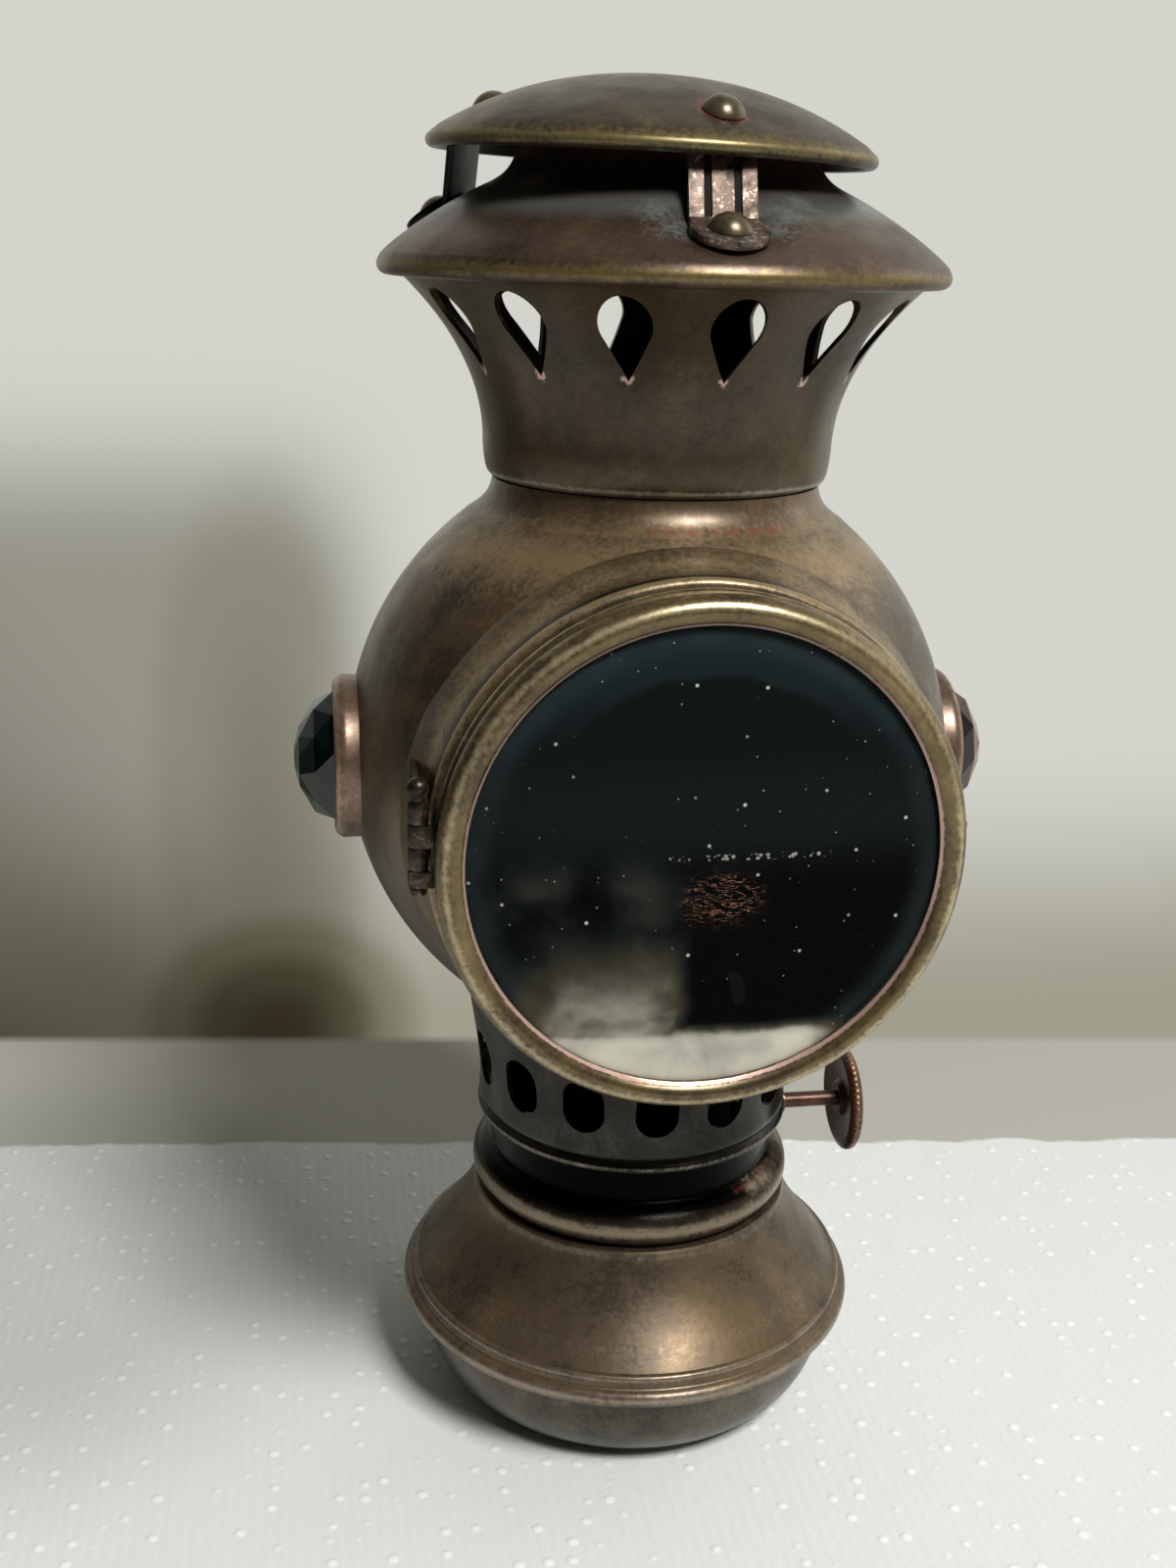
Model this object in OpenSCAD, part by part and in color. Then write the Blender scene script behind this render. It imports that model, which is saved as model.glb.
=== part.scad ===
// Kerosene bicycle lamp of lacquered brass, standing on its fount.
// Origin at the centre of the fount's flat base, +Z up, lens towards -Y, wick key towards +X.

/* [Fount] */
// Radius of the flat base
base_r = 20; // [16:0.5:24]
// Height of the bowl, from the base to the seam
bowl_h = 13.4; // [11:0.1:14]
// Largest radius of the bowl, under the seam
bowl_r = 32; // [30:0.5:33]
// Height of the rolled seam's centre
seam_z = 15.6; // [15:0.1:16]
// Outer radius of the rolled seam
seam_r = 35.2; // [34.5:0.1:36]
// Height of the round bead on the fount's neck
bead_z = 36.2; // [36:0.1:36.4]
// Wall of the spun sheet parts
wall = 0.8; // [0.6:0.1:1]

/* [Burner] */
// Height of the wick key's spindle
key_z = 43.2; // [42.8:0.1:43.6]
// Radius of the wick key's disc
key_r = 8.2; // [6:0.1:9]
// Distance of the key disc's inner face from the lamp's axis
key_x = 32.9; // [30:0.1:36]
// Width of the flat wick
wick_w = 10; // [8:0.5:10]
// Height of the wick tube's mouth
tube_top_z = 83; // [78:1:86]

/* [Body] */
// Radius of the ball
ball_r = 42.8; // [42.4:0.1:43]
// Height of the ball's centre
ball_z = 102; // [101.5:0.1:102.5]
// Outer radius of the ball's neck
neck_r = 22.2; // [22:0.1:22.3]
// Height of the neck's top edge, inside the chimney
neck_top_z = 150; // [146:1:154]
// Number of air holes round the gallery
gallery_holes = 14; // [12:1:15]
// Azimuth of the air hole nearest the front, in degrees
gallery_turn = -1.9; // [-12:0.1:12]

/* [Door] */
// Height of the door's centre
door_z = 99.5; // [99:0.1:100]
// Outer radius of the door's rolled ring
ring_r = 33.4; // [33.2:0.1:33.5]
// Radius of the opening that shows the glass
sight_r = 29.8; // [29:0.1:30]
// Height of the glass's dome
glass_sag = 2.4; // [1:0.1:3]
// Thickness of the glass
glass_t = 2.5; // [2:0.1:3]

/* [Jewels] */
// Height of the side jewels' centre
jewel_z = 101.5; // [100:0.1:103]
// Outer radius of a jewel's bezel
bezel_r = 11.5; // [10:0.1:12]
// Distance of a jewel's tip from the lamp's axis
jewel_tip = 50.2; // [49:0.1:52]

/* [Chimney] */
// Number of drop-shaped vents in the crown
vents = 14; // [12:1:14]
// Azimuth of the vent nearest the front, in degrees
vent_turn = 6.3; // [-12:0.1:12]
// Outer radius of the hood's rolled rim
hood_r = 38; // [37.5:0.1:38.5]
// Height of the hood's rim
hood_z = 168.3; // [168:0.1:168.6]
// Outer radius of the cap's rolled edge
cap_r = 29.5; // [29:0.1:30]
// Height of the cap's edge
cap_z = 183.1; // [182.6:0.1:183.6]
// How far the cap sits off the axis, towards -X
cap_off = 2.1; // [0:0.1:2.5]
// Forward lean of the cap, in degrees
cap_lean_front = 0.8; // [0:0.1:1.5]
// Sideways lean of the cap, +X side down, in degrees
cap_lean_side = 1.3; // [0:0.1:1.5]
// Width of a cap strap
strap_w = 8.3; // [7:0.1:9]

/* [Bracket] */
// Width of the slot for the cycle's lamp bracket
slot_w = 20.4; // [19:0.1:22]
// Thickness of that slot
slot_t = 4.5; // [4.1:0.1:5]
// Radius of the clamping screw's thread
screw_r = 2.4; // [2:0.1:3]

/* [Hidden] */
$fn = 72;

eps = 0.05;                       // gap between pieces that are soldered face to face
fit = 0.4;                        // gap between pieces that move against each other
sheet_gap = 0.03;                 // gap under a rivet's head
seam_roll = 1.3;                  // radius of the seam's roll
bead_roll = 3.4;                  // radius of the neck bead's roll
bead_c = 21;                      // radius on which the neck bead's roll is centred
neck_in = 20.9;                   // bore of the fount's neck
neck_seat_z = 32.95;              // where the neck sits on the shoulder
lip_z = 45.1;                     // underside of the gallery's lip
tube_y = -4.05;                   // the wick tube's middle, in front of the spindle
wick_t = 2;                       // thickness of the wick
wheel_r = 3;                      // radius of the star wheels over their points
wheel_x = 2.6;                    // where the star wheels stand along the spindle
spindle_r = 1.2;                  // radius of the spindle
gland_r = 1.9;                    // radius of the gland it turns in
plate_z = 38.4;                   // underside of the burner plate
ring_c = 31.5;                    // radius on which the door ring's roll is centred
ring_y = 41;                      // distance of that roll's centre in front of the axis
part_y = 36.2;                    // parting plane between collar and door
spigot_r = 31.8;                  // outer radius of the door's spigot
collar_r = spigot_r + fit;        // bore of the collar
hinge_x = -35.1;                  // hinge pin's axis
hinge_y = -37.5;
hinge_z = 101.3;                  // height of the hinge's middle
pin_r = 0.6;
knuckle_r = 1.3;
strap_az = [2, -118, 122];        // azimuths of the straps' feet on the hood
head_az = [8, -112.5, 126];       // azimuths of the straps' heads under the cap
rivet_az = [9.5, -113, 127];      // azimuths of the rivets in those heads, in the cap's own frame
strap_t = 0.9;                    // thickness of a strap
foot_r = 32.3;                    // radius at which the hood rivets stand
foot_z = [172.6, 174.25, 174.25]; // hood's surface at those rivets; the front one sits in a dish
foot_slope = [20, 32, 32];        // slope of the hood there, in degrees
head_r = 23.2;                    // radius of the cap rivets in the cap's own frame
head_z = 3.35;                    // height of the cap's underside at those rivets
head_slope = 26;                  // slope of the cap there
head_in = [0, 1.5, 0];            // how far up that slope each cap rivet is moved
foot_gap = 0.25;                  // gap between a strap's flat foot and the hood's cone
head_x = [2.4, 3, 1.6];           // how far beyond those rivets each strap turns down
head_gap = 0.45;                  // gap between the flat head of a strap and the domed cap
rivet_r = 2.75;                   // radius of a rivet's head
shank_r = 1;                      // radius of a rivet's shank
saddle_r = 44.6;                  // outer radius of the bracket's saddle, which hugs the ball
slot_y = 46.6;                    // front face of the bracket's slot
sleeve_y = slot_y + slot_t + 3.6; // back face of the bracket's sleeve

// Colours of the aged metal, as the photograph shows them
bronze = [0.33, 0.27, 0.19];
dark_bronze = [0.24, 0.21, 0.17];
worn_copper = [0.55, 0.42, 0.33];
worn_brass = [0.55, 0.45, 0.25];

// Points of an arc about [cx, cy], from angle a0 to a1
function arc(cx, cy, r, a0, a1, n = 8) =
    [for (i = [0:n]) let (a = a0 + (a1 - a0) * i / n) [cx + r * cos(a), cy + r * sin(a)]];

// Points of a cubic curve between two ends and two pulls
function curve(a, b, c, d, n = 8) =
    [for (i = [0:n]) let (t = i / n) pow(1 - t, 3) * a + 3 * t * pow(1 - t, 2) * b
        + 3 * t * t * (1 - t) * c + pow(t, 3) * d];

// The same points moved sideways by a wall thickness, towards the axis
function shifted(points, dx, dy = 0) = [for (p = points) [p[0] + dx, p[1] + dy]];
function back_to_front(points) = [for (i = [len(points) - 1:-1:0]) points[i]];

module turned(points) rotate_extrude() polygon(points);
module ring(r_out, r_in, z0, z1) {
    difference() {
        translate([0, 0, z0]) cylinder(r = r_out, h = z1 - z0);
        translate([0, 0, z0 - 1]) cylinder(r = r_in, h = z1 - z0 + 2);
    }
}

// Local z runs forward out of the lens, from the lamp's axis
module front_axis() translate([0, 0, door_z]) rotate([90, 0, 0]) children();
// Local z runs out to one side through a jewel
module side_axis(side) translate([0, 0, jewel_z]) rotate([0, 90 * side, 0]) children();
// Local x runs outwards at an azimuth counted from the front towards +X
module at_azimuth(a) rotate([0, 0, a - 90]) children();
module cap_frame() translate([-cap_off, 0.2, cap_z]) rotate([cap_lean_front, cap_lean_side, 0]) children();
module ball(r) translate([0, 0, ball_z]) sphere(r = r, $fn = 200);

// Fount

bowl_curve = [for (i = [0:12]) let (a = i * 90 / 12)
    [base_r + (bowl_r - base_r) * pow(sin(a), 0.8), bowl_h * (1 - pow(cos(a), 0.8))]];

module fount_bowl() color(dark_bronze) turned(concat(
    [[0, 0]], bowl_curve, [[bowl_r + 1.4, bowl_h], [bowl_r + 1.4, bowl_h + wall], [bowl_r - wall, bowl_h + wall]],
    back_to_front([for (p = bowl_curve) if (p[1] > 0.4) [p[0] - wall, p[1] + wall / 2]]),
    [[base_r - 1, wall], [0, wall]]));

shoulder_curve = curve([33.3, 18.2], [29.6, 22.8], [26.2, 26.6], [24.3, 32], 12);

module fount_shoulder() color(bronze) turned(concat(
    [[bowl_r + 0.2, bowl_h + wall + eps]], arc(seam_r - seam_roll, seam_z, seam_roll, -75, 70),
    [[33.6, 17.3]], shoulder_curve, [[23.5, neck_seat_z - eps], [neck_in + 0.2, neck_seat_z - eps],
    [neck_in + 0.2, neck_seat_z - eps - wall]],
    back_to_front(shifted(shoulder_curve, -0.9, -0.5)), [[32.2, 16]]));

module fount_neck() color(bronze) difference() {
    turned(concat([[neck_in, neck_seat_z], [22, neck_seat_z]], arc(bead_c, bead_z, bead_roll, -66, 72, 12),
        [[21.6, 39.9], [21.45, 40.6], [21.45, 48.4], [neck_in, 48.4]]));
    translate([15, 0, key_z]) rotate([0, 90, 0]) cylinder(r = gland_r + eps, h = 10);
}

// Burner: a plate in the neck, a perforated basket and a cone round the wick tube

module burner_plate() color(worn_brass) {
    difference() {
        ring(neck_in - eps, 2.2, plate_z, plate_z + 1);
        translate([-wick_w / 2 - 0.85, tube_y - 1.9, plate_z - 1]) cube([wick_w + 1.7, 3.8, 3]);
        for (a = [0:45:315]) at_azimuth(a) translate([17.6, 0, plate_z - 1]) cylinder(r = 1.2, h = 3);
    }
    for (side = [-1, 1]) difference() {
        translate([side * 8 - 0.5, -3, plate_z + 1]) cube([1, 6, 8]);
        translate([side * 8 - 1, 0, key_z]) rotate([0, 90, 0]) cylinder(r = spindle_r + 0.06, h = 2);
    }
}

module burner_basket() color(worn_brass) difference() {
    ring(15.4, 14.8, plate_z + 1 + eps, 57);
    for (a = [15:30:345]) at_azimuth(a) translate([10, 0, 51]) rotate([0, 90, 0]) cylinder(r = 1.6, h = 8);
    translate([10, 0, key_z]) rotate([0, 90, 0]) cylinder(r = 1.9, h = 8);
}

cone_curve = curve([15.4, 57.2], [15.4, 66], [10.6, 74], [9.6, 86], 7);
module burner_cone() color(worn_brass) turned(concat(
    cone_curve, back_to_front(shifted(cone_curve, -0.6))));

module wick_tube() color(worn_brass) difference() {
    translate([-wick_w / 2 - 0.8, tube_y - 1.85, 22]) cube([wick_w + 1.6, 3.7, tube_top_z - 22]);
    translate([-wick_w / 2 - 0.2, tube_y - 1.25, 21]) cube([wick_w + 0.4, 2.5, tube_top_z]);
    for (side = [-1, 1]) translate([side * wheel_x - 1, tube_y + 1, key_z - 2.6]) cube([2, 2, 5.2]);
}

module wick() color([0.78, 0.73, 0.62])
    translate([-wick_w / 2, tube_y - wick_t / 2, 4]) cube([wick_w, wick_t, tube_top_z + 0.8 - 4]);

module spindle_gland() color(worn_brass) difference() {
    translate([neck_in - 1.9, 0, key_z]) rotate([0, 90, 0]) cylinder(r = gland_r, h = 5.4);
    translate([15, 0, key_z]) rotate([0, 90, 0]) cylinder(r = spindle_r + 0.06, h = 12);
}

module wick_spindle() color([0.36, 0.22, 0.18])
    translate([-9.4, 0, key_z]) rotate([0, 90, 0]) cylinder(r = spindle_r, h = key_x + 1.6 + 9.4);

// Two small star wheels whose points grip the wick
module wick_wheels() color(worn_brass) for (side = [-1, 1])
    translate([side * wheel_x - 0.6, 0, key_z]) rotate([0, 90, 0]) difference() {
        linear_extrude(height = 1.2) polygon([for (i = [0:19]) let (a = i * 18)
            (i % 2 == 0 ? wheel_r : 2.3) * [cos(a), sin(a)]]);
        translate([0, 0, -1]) cylinder(r = spindle_r + 0.02, h = 4);
    }

module wick_key() color([0.32, 0.2, 0.17]) translate([key_x, 0, key_z]) rotate([0, 90, 0]) difference() {
    turned(concat([[spindle_r + 0.02, 0.3], [2.4, 0.3], [3, 1], [key_r - 1, 0.5]],
        arc(key_r - 1, 1.5, 1, -90, 90), [[key_r - 1, 2.5], [3, 1.9], [2.2, 2.4], [spindle_r + 0.02, 2.4]]));
    for (a = [0:15:345]) rotate([0, 0, a]) translate([key_r + 0.25, 0, -1]) cylinder(r = 0.45, h = 5, $fn = 16);
}

// Gallery: the body's lower ring with its air holes, resting over the fount's neck

lip_roll = 0.95;                  // radius of the gallery's rolled lip
gallery_wall = curve([23.5, 48.5], [23.1, 53], [24.4, 59], [26, 70], 8);
module gallery() color(dark_bronze) difference() {
    turned(concat([[21.85, lip_z]], arc(22.75, lip_z + lip_roll, lip_roll, -90, 70, 6), [[23, 47], [23.4, 47.7]],
        gallery_wall,
        back_to_front(shifted(gallery_wall, -wall)), [[21.85, 48.4]]));
    for (i = [0:gallery_holes - 1]) at_azimuth(gallery_turn + i * 360 / gallery_holes)
        translate([18, 0, 55.4]) rotate([0, 90, 0]) union() {
            for (up = [-1, 1]) translate([up * 1.15, 0, 0]) cylinder(r = 3.1, h = 10, $fn = 32);
            translate([-1.15, -3.1, 0]) cube([2.3, 6.2, 10]);
        }
    ball(ball_r + eps);
}

// Ball: one spun shell with a neck and four openings

module ball_body() color(bronze) difference() {
    union() {
        ball(ball_r);
        turned(concat([[0, 130], [29.6, 130]], curve([27.3, 134.9], [24.4, 137], [22.5, 138.2], [22.5, 141]),
            [[neck_r, 141.1], [neck_r, neck_top_z], [0, neck_top_z]]));
    }
    ball(ball_r - wall);
    translate([0, 0, 130]) cylinder(r = neck_r - wall, h = 30);
    translate([0, 0, 55]) cylinder(r = 23.6, h = 20);
    front_axis() cylinder(r = collar_r, h = 60);
    for (side = [-1, 1]) side_axis(side) cylinder(r = 8.8, h = 60);
}

// Collar: the rolled tube that the door closes on, cut to sit on the ball
module front_collar() color(bronze) difference() {
    front_axis() turned(concat([[collar_r, 18], [35.1, 18], [34.4, 29], [34, 32.4]],
        arc(33.1, 34.6, 0.95, 0, 90, 5), [[32.9, part_y], [collar_r, part_y]]));
    ball(ball_r + eps);
    translate([0, 0, 40]) cylinder(r = 25.9, h = 28.3);
}

// Reflector behind the flame, on a post riveted to the ball
reflector_curve = [for (i = [0:8]) let (r = i * 26 / 8) [r, 28 - 12 * pow(r / 26, 2)]];
module reflector() color("silver") translate([0, 0, door_z]) rotate([-90, 0, 0]) difference() {
    turned(concat(reflector_curve, back_to_front(shifted(reflector_curve, 0, 0.6))));
    translate([0, 0, 20]) cylinder(r = 1.3, h = 20);
}

module reflector_post() color(worn_brass) translate([0, 0, door_z]) rotate([-90, 0, 0]) {
    translate([0, 0, 28.7]) cylinder(r = 2.6, h = 12.9);
    translate([0, 0, 27]) cylinder(r = 1.2, h = 2);
    translate([0, 0, 26.8]) cylinder(r = 2.2, h = 1);
}

// Side jewels: a faceted glass dome in a rolled bezel

module bezel(side) difference() {
    side_axis(side) turned(concat([[8.9, 38], [bezel_r, 38], [bezel_r, 41.6]], arc(9.9, 43.3, 1.6, -10, 100, 6),
        [[9.5, 44.7], [9.5, 42.2], [8.9, 42.2]]));
    ball(ball_r + eps);
}

module jewel(side) side_axis(side) hull() {
    for (row = [[42.3, 9.4, 0], [44.8, 9.3, 0], [47.4, 7.9, 18], [49.5, 4.4, 0], [jewel_tip, 1.6, 18]])
        translate([0, 0, row[0] - 0.01]) rotate([0, 0, row[2]]) linear_extrude(height = 0.01) polygon(
            [for (i = [0:9]) row[1] * [cos(i * 36), sin(i * 36)]]);
}

module green_bezel() color(worn_brass) bezel(-1);
module green_jewel() color([0.05, 0.2, 0.17]) jewel(-1);
module red_bezel() color(worn_brass) bezel(1);
module red_jewel() color([0.25, 0.03, 0.03]) jewel(1);

// Door hinge: knuckles stacked on a pin beside the collar

// Heights here are counted from the hinge's middle
module hinge_frame() translate([hinge_x, hinge_y, hinge_z]) children();
module knuckle(k) difference() {
    translate([0, 0, k[0]]) cylinder(r = knuckle_r, h = k[1] - k[0], $fn = 32);
    translate([0, 0, k[0] - 1]) cylinder(r = pin_r + 0.06, h = k[1] - k[0] + 2, $fn = 32);
}

leaf_t = 0.7;                     // thickness of the body's leaf
tab_t = 0.6;                      // thickness of the door's leaf
body_knuckles = [[2.9, 5.7], [-3, -0.2]];
door_knuckles = [[-0.05, 2.75], [-5.2, -3.15]];

module hinge_body_leaf() color(dark_bronze) difference() {
    hinge_frame() {
        for (k = body_knuckles) {
            knuckle(k);
            translate([-0.25, 0.9, k[0]]) cube([leaf_t, 3, k[1] - k[0]]);
        }
        translate([-0.25, 2.8, -4.9]) cube([leaf_t, 12, 12]);
    }
    ball(ball_r + eps);
}

module hinge_pin() color(worn_brass) hinge_frame() {
    translate([0, 0, -5.6]) cylinder(r = pin_r, h = 12, $fn = 32);
    translate([0, 0, 5.8]) cylinder(r = 1.2, h = 1.4, $fn = 32);
    translate([0, 0, 7.3]) sphere(r = 1.4, $fn = 32);
    translate([0, 0, -6.3]) cylinder(r = 1.05, h = 1, $fn = 32);
}

module hinge_door_leaf() color(dark_bronze) difference() {
    hinge_frame() {
        for (k = door_knuckles) {
            knuckle(k);
            translate([0, -1.25, k[0]]) cube([3.4, tab_t, k[1] - k[0]]);
        }
        translate([1.5, -1.25, door_knuckles[1][0]])
            cube([1.9, tab_t, door_knuckles[0][1] - door_knuckles[1][0]]);
    }
    front_axis() turned([[0, 20], [32.9, 20], [32.9, 36.2], [33.45, 37.5], [32.85, 38.8], [33.45, 40], [33.45, 50],
        [0, 50]]);
}

// Door: a rolled ring with a small bead behind it and a spigot that enters the collar
module door_ring() color(worn_brass) front_axis() turned(concat(
    [[spigot_r, part_y - 2.8], [spigot_r, part_y + 0.1], [32.8, part_y + 0.1]],
    arc(32.5, 37.6, 0.85, -60, 60, 5), [[32.7, 38.8]],
    [for (a = [-45:22.5:135]) [ring_c + (ring_r - ring_c) * cos(a), ring_y + 2.1 * sin(a)]],
    [[sight_r, 42.1], [sight_r, 41.5], [31.1, 41.5], [31.1, part_y - 2.8]]));

// Slightly domed glass
lens_r = 30.8;
dome_r = (pow(lens_r, 2) + pow(glass_sag, 2)) / (2 * glass_sag);
lens_edge = 41.2;
lens_curve = [for (i = [0:8]) let (r = lens_r * i / 8)
    [r, lens_edge + sqrt(dome_r * dome_r - r * r) - (dome_r - glass_sag)]];
module lens() color([0.75, 0.85, 0.85, 0.5]) front_axis() turned(concat(
    lens_curve, back_to_front(shifted(lens_curve, 0, -glass_t))));

// Split spring wire that holds the glass in the ring
module lens_wire() color(worn_brass) front_axis() translate([0, 0, lens_edge - glass_t - 0.75])
    rotate([0, 0, 100]) rotate_extrude(angle = 340) translate([30.3, 0]) circle(r = 0.6, $fn = 24);

// Spring catch on the collar, whose nose snaps in behind the door's ring
catch_h = 6;
catch_at = [34.56, -29, 100];     // inner face of the catch at its rivet
module catch_spring() color(worn_brass) {
    difference() {
        translate([catch_at[0], -36.3, catch_at[2] - catch_h / 2]) cube([0.45, 9.3, catch_h]);
        translate([30, catch_at[1], catch_at[2]]) rotate([0, 90, 0]) cylinder(r = 0.85, h = 10, $fn = 32);
    }
    translate([33.75, -36.3, catch_at[2] - catch_h / 2]) cube([1.2, 0.5, catch_h]);
    translate([33.75, -39.15, catch_at[2] - catch_h / 2]) cube([0.45, 3.35, catch_h]);
    translate([33.75, -38.75, catch_at[2] - 2]) cylinder(r = 0.5, h = 4, $fn = 32);
}

module catch_rivet() color(worn_copper) translate([0, catch_at[1], catch_at[2]]) rotate([0, 90, 0]) {
    translate([0, 0, catch_at[0] + 0.5]) cylinder(r = 1.4, h = 0.5, $fn = 32);
    translate([0, 0, catch_at[0] - 0.02]) cylinder(r = 0.8, h = 0.8, $fn = 32);
}

// Bracket on the back: a saddle and a sleeve for the cycle's flat lamp bracket

module bracket_saddle() color(dark_bronze) difference() {
    union() {
        intersection() {
            translate([-13, 30, ball_z - 22]) cube([26, 20, 44]);
            ball(saddle_r);
        }
        translate([-13, 36, ball_z - 14]) cube([26, sleeve_y - 36, 28]);
    }
    ball(ball_r + eps);
    translate([-slot_w / 2, slot_y, 70]) cube([slot_w, slot_t, 60]);
    translate([0, 50, ball_z]) rotate([-90, 0, 0]) cylinder(r = screw_r, h = 10);
    saddle_rivet_spots() translate([0, 0, 40]) cylinder(r = 1.05, h = 8, $fn = 32);
}

// Local z runs out of the ball through each rivet of the saddle
module saddle_rivet_spots() for (x = [-1, 1], up = [-1, 1])
    translate([0, 0, ball_z]) rotate([0, 0, x * 12.4]) rotate([up * 24.3 - 90, 0, 0]) children();

module bracket_rivets() color(worn_brass) saddle_rivet_spots() {
    translate([0, 0, ball_r + 0.1]) cylinder(r = 1, h = saddle_r - ball_r, $fn = 32);
    translate([0, 0, saddle_r + 0.06]) turned(concat([[0, 0]], arc(0, -0.9, 2.4, 22, 90, 5)));
}

// Clamping screw with a thumb wing
module clamp_screw() color(worn_brass) translate([0, slot_y + slot_t + 0.1, ball_z]) rotate([-90, 0, 0])
    cylinder(r = screw_r - 0.08, h = 8.4);

module clamp_wing() color(worn_brass) translate([0, slot_y + slot_t + 8.55, ball_z]) rotate([-90, 0, 0]) {
    cylinder(r = 3.4, h = 3.4);
    for (side = [-1, 1]) translate([side * 4.6, 0, 3.2]) rotate([90, 0, 0]) translate([0, 0, -0.8])
        cylinder(r = 3.1, h = 1.6, $fn = 32);
}

// Chimney: flared crown with drop-shaped vents, pulled off upwards over the neck

crown_foot = 141.4;
flare_z0 = 145.4;
flare_z1 = 166.8;
vent_z = 162.5;                   // centre of a vent's round end
crown_flare = [for (i = [0:16]) let (t = i / 16)
    [23.85 + 10.7 * pow(t, 2.1), flare_z0 + (flare_z1 - flare_z0) * t]];
drop = concat([[6.9, 0], [4.2, 1.55]], arc(0, 0, 3.4, 55, 305, 12), [[4.2, -1.55]]);

module crown() color(bronze) difference() {
    turned(concat([[neck_r + fit, crown_foot], [23, crown_foot], [23.5, 142.2], [23.75, 143.6]], crown_flare,
        [[35.2, flare_z1 + 0.4], [35.2, flare_z1 + 1], [33.6, flare_z1 + 1]],
        back_to_front(shifted([for (i = [4:2:14]) crown_flare[i]], -wall)), [[neck_r + fit, 149]]));
    for (i = [0:vents - 1]) at_azimuth(vent_turn + i * 360 / vents)
        translate([20, 0, vent_z]) rotate([0, 90, 0]) linear_extrude(height = 20) polygon(drop);
}

hood_cone = curve([37.5, 169.6], [35, 172.3], [28, 176.7], [23.4, 178.75], 12);
hood_throat = curve([23.4, 178.75], [21.4, 179.7], [19.8, 181], [19.7, 184], 8);

// A shallow dish in the hood, which riveting pressed in under the front strap's foot
module dish(sheet) at_azimuth(strap_az[0]) foot_frame(0) translate([0, 0, -sheet])
    cylinder(r1 = 6.2 + sheet, r2 = 13.4 + sheet, h = 4 + sheet);

module hood() color([0.3, 0.24, 0.22]) difference() {
    union() {
        turned(concat([[35.6, hood_z - 1.3]], arc(hood_r - 1.35, hood_z, 1.35, -90, 20, 5), hood_cone,
            [for (i = [1:8]) hood_throat[i]], [[19.65, 184.4], [18.9, 184.4], [18.9, 181.2], [22.6, 178.1]],
            [[27.5, 176.1], [34, 171.6], [35.6, hood_z + 1]]));
        intersection() {
            dish(wall);
            turned(concat([[22, 169.2], [36.5, 169.2]], hood_cone, [[22, 178.6]]));
        }
    }
    dish(0);
    for (i = [0:2]) foot_hole(i);
}

module foot_frame(i) translate([foot_r, 0, foot_z[i]]) rotate([0, foot_slope[i], 0]) children();
module head_frame() translate([head_r, 0, head_z]) rotate([0, head_slope, 0]) children();
module cap_hole(i) cap_frame() at_azimuth(rivet_az[i]) head_frame() translate([-head_in[i], 0, -5])
    cylinder(r = shank_r + 0.05, h = 10, $fn = 32);
module foot_hole(i) at_azimuth(strap_az[i]) foot_frame(i) translate([0, 0, -5])
    cylinder(r = shank_r + 0.05, h = 10, $fn = 32);

// A point of the cap's own frame, in the lamp's
function cap_point(q) = [q[0] - cap_off + sin(cap_lean_side) * q[2], q[1] + 0.2 - sin(cap_lean_front) * q[2],
    q[2] + cap_z + sin(cap_lean_front) * q[1] - sin(cap_lean_side) * q[0]];

// Where strap i meets its head, seen in the frame of its foot's azimuth
function head_point(i) = let (
    hx = head_x[i] - 0.1, hz = -head_gap - strap_t - 0.2,
    r = head_r + hx * cos(head_slope) + hz * sin(head_slope),
    q = cap_point([r * sin(head_az[i]), -r * cos(head_az[i]),
        head_z - hx * sin(head_slope) + hz * cos(head_slope)]), a = strap_az[i])
    [q[0] * sin(a) - q[1] * cos(a), q[0] * cos(a) + q[1] * sin(a), q[2]];

// Strap: a web with two grooves between a round foot on the hood and a head under the cap
function web_foot(i) = let (a = foot_slope[i])
    [foot_r - 4 * cos(a) + 0.5 * sin(a), 0, foot_z[i] + 4 * sin(a) + 0.6 * cos(a)];
groove = 0.3;
web_over = 2.5;                   // how far the web runs on before it is trimmed
function head_back(i) = max(2.6, head_in[i] + 1.7);
module strap(i) color(worn_copper) difference() {
    union() {
        at_azimuth(strap_az[i]) foot_frame(i) translate([0, 0, foot_gap]) {
            cylinder(r = 4.7, h = strap_t, $fn = 40);
            translate([-4.2, -strap_w / 2, 0]) cube([4.2, strap_w, strap_t]);
        }
        cap_frame() at_azimuth(head_az[i]) head_frame()
            translate([-head_back(i), -strap_w / 2, -strap_t - head_gap])
            cube([head_x[i] + head_back(i) + 0.8, strap_w, strap_t]);
        // The leaning web ends inside the foot and the head
        intersection() {
            run = head_point(i) - web_foot(i);
            at_azimuth(strap_az[i]) translate(web_foot(i))
                rotate([-atan2(run[1], run[2]), atan2(run[0], run[2]), 0])
                translate([0, 0, -web_over]) linear_extrude(height = norm(run) + 2 * web_over) difference() {
                    translate([0, -strap_w / 2]) square([strap_t, strap_w]);
                    for (y = [-0.28, 0.16]) translate([strap_t - groove, y * strap_w])
                        square([1, 0.12 * strap_w]);
                }
            at_azimuth(strap_az[i]) foot_frame(i) translate([-20, -15, foot_gap + 0.1]) cube([40, 30, 20]);
            cap_frame() at_azimuth(head_az[i]) head_frame()
                translate([-15, -15, 0.2 - head_gap - strap_t - 20]) cube([30, 30, 20]);
        }
    }
    foot_hole(i);
    cap_hole(i);
}

module strap_front() strap(0);
module strap_left() strap(1);
module strap_right() strap(2);

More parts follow.
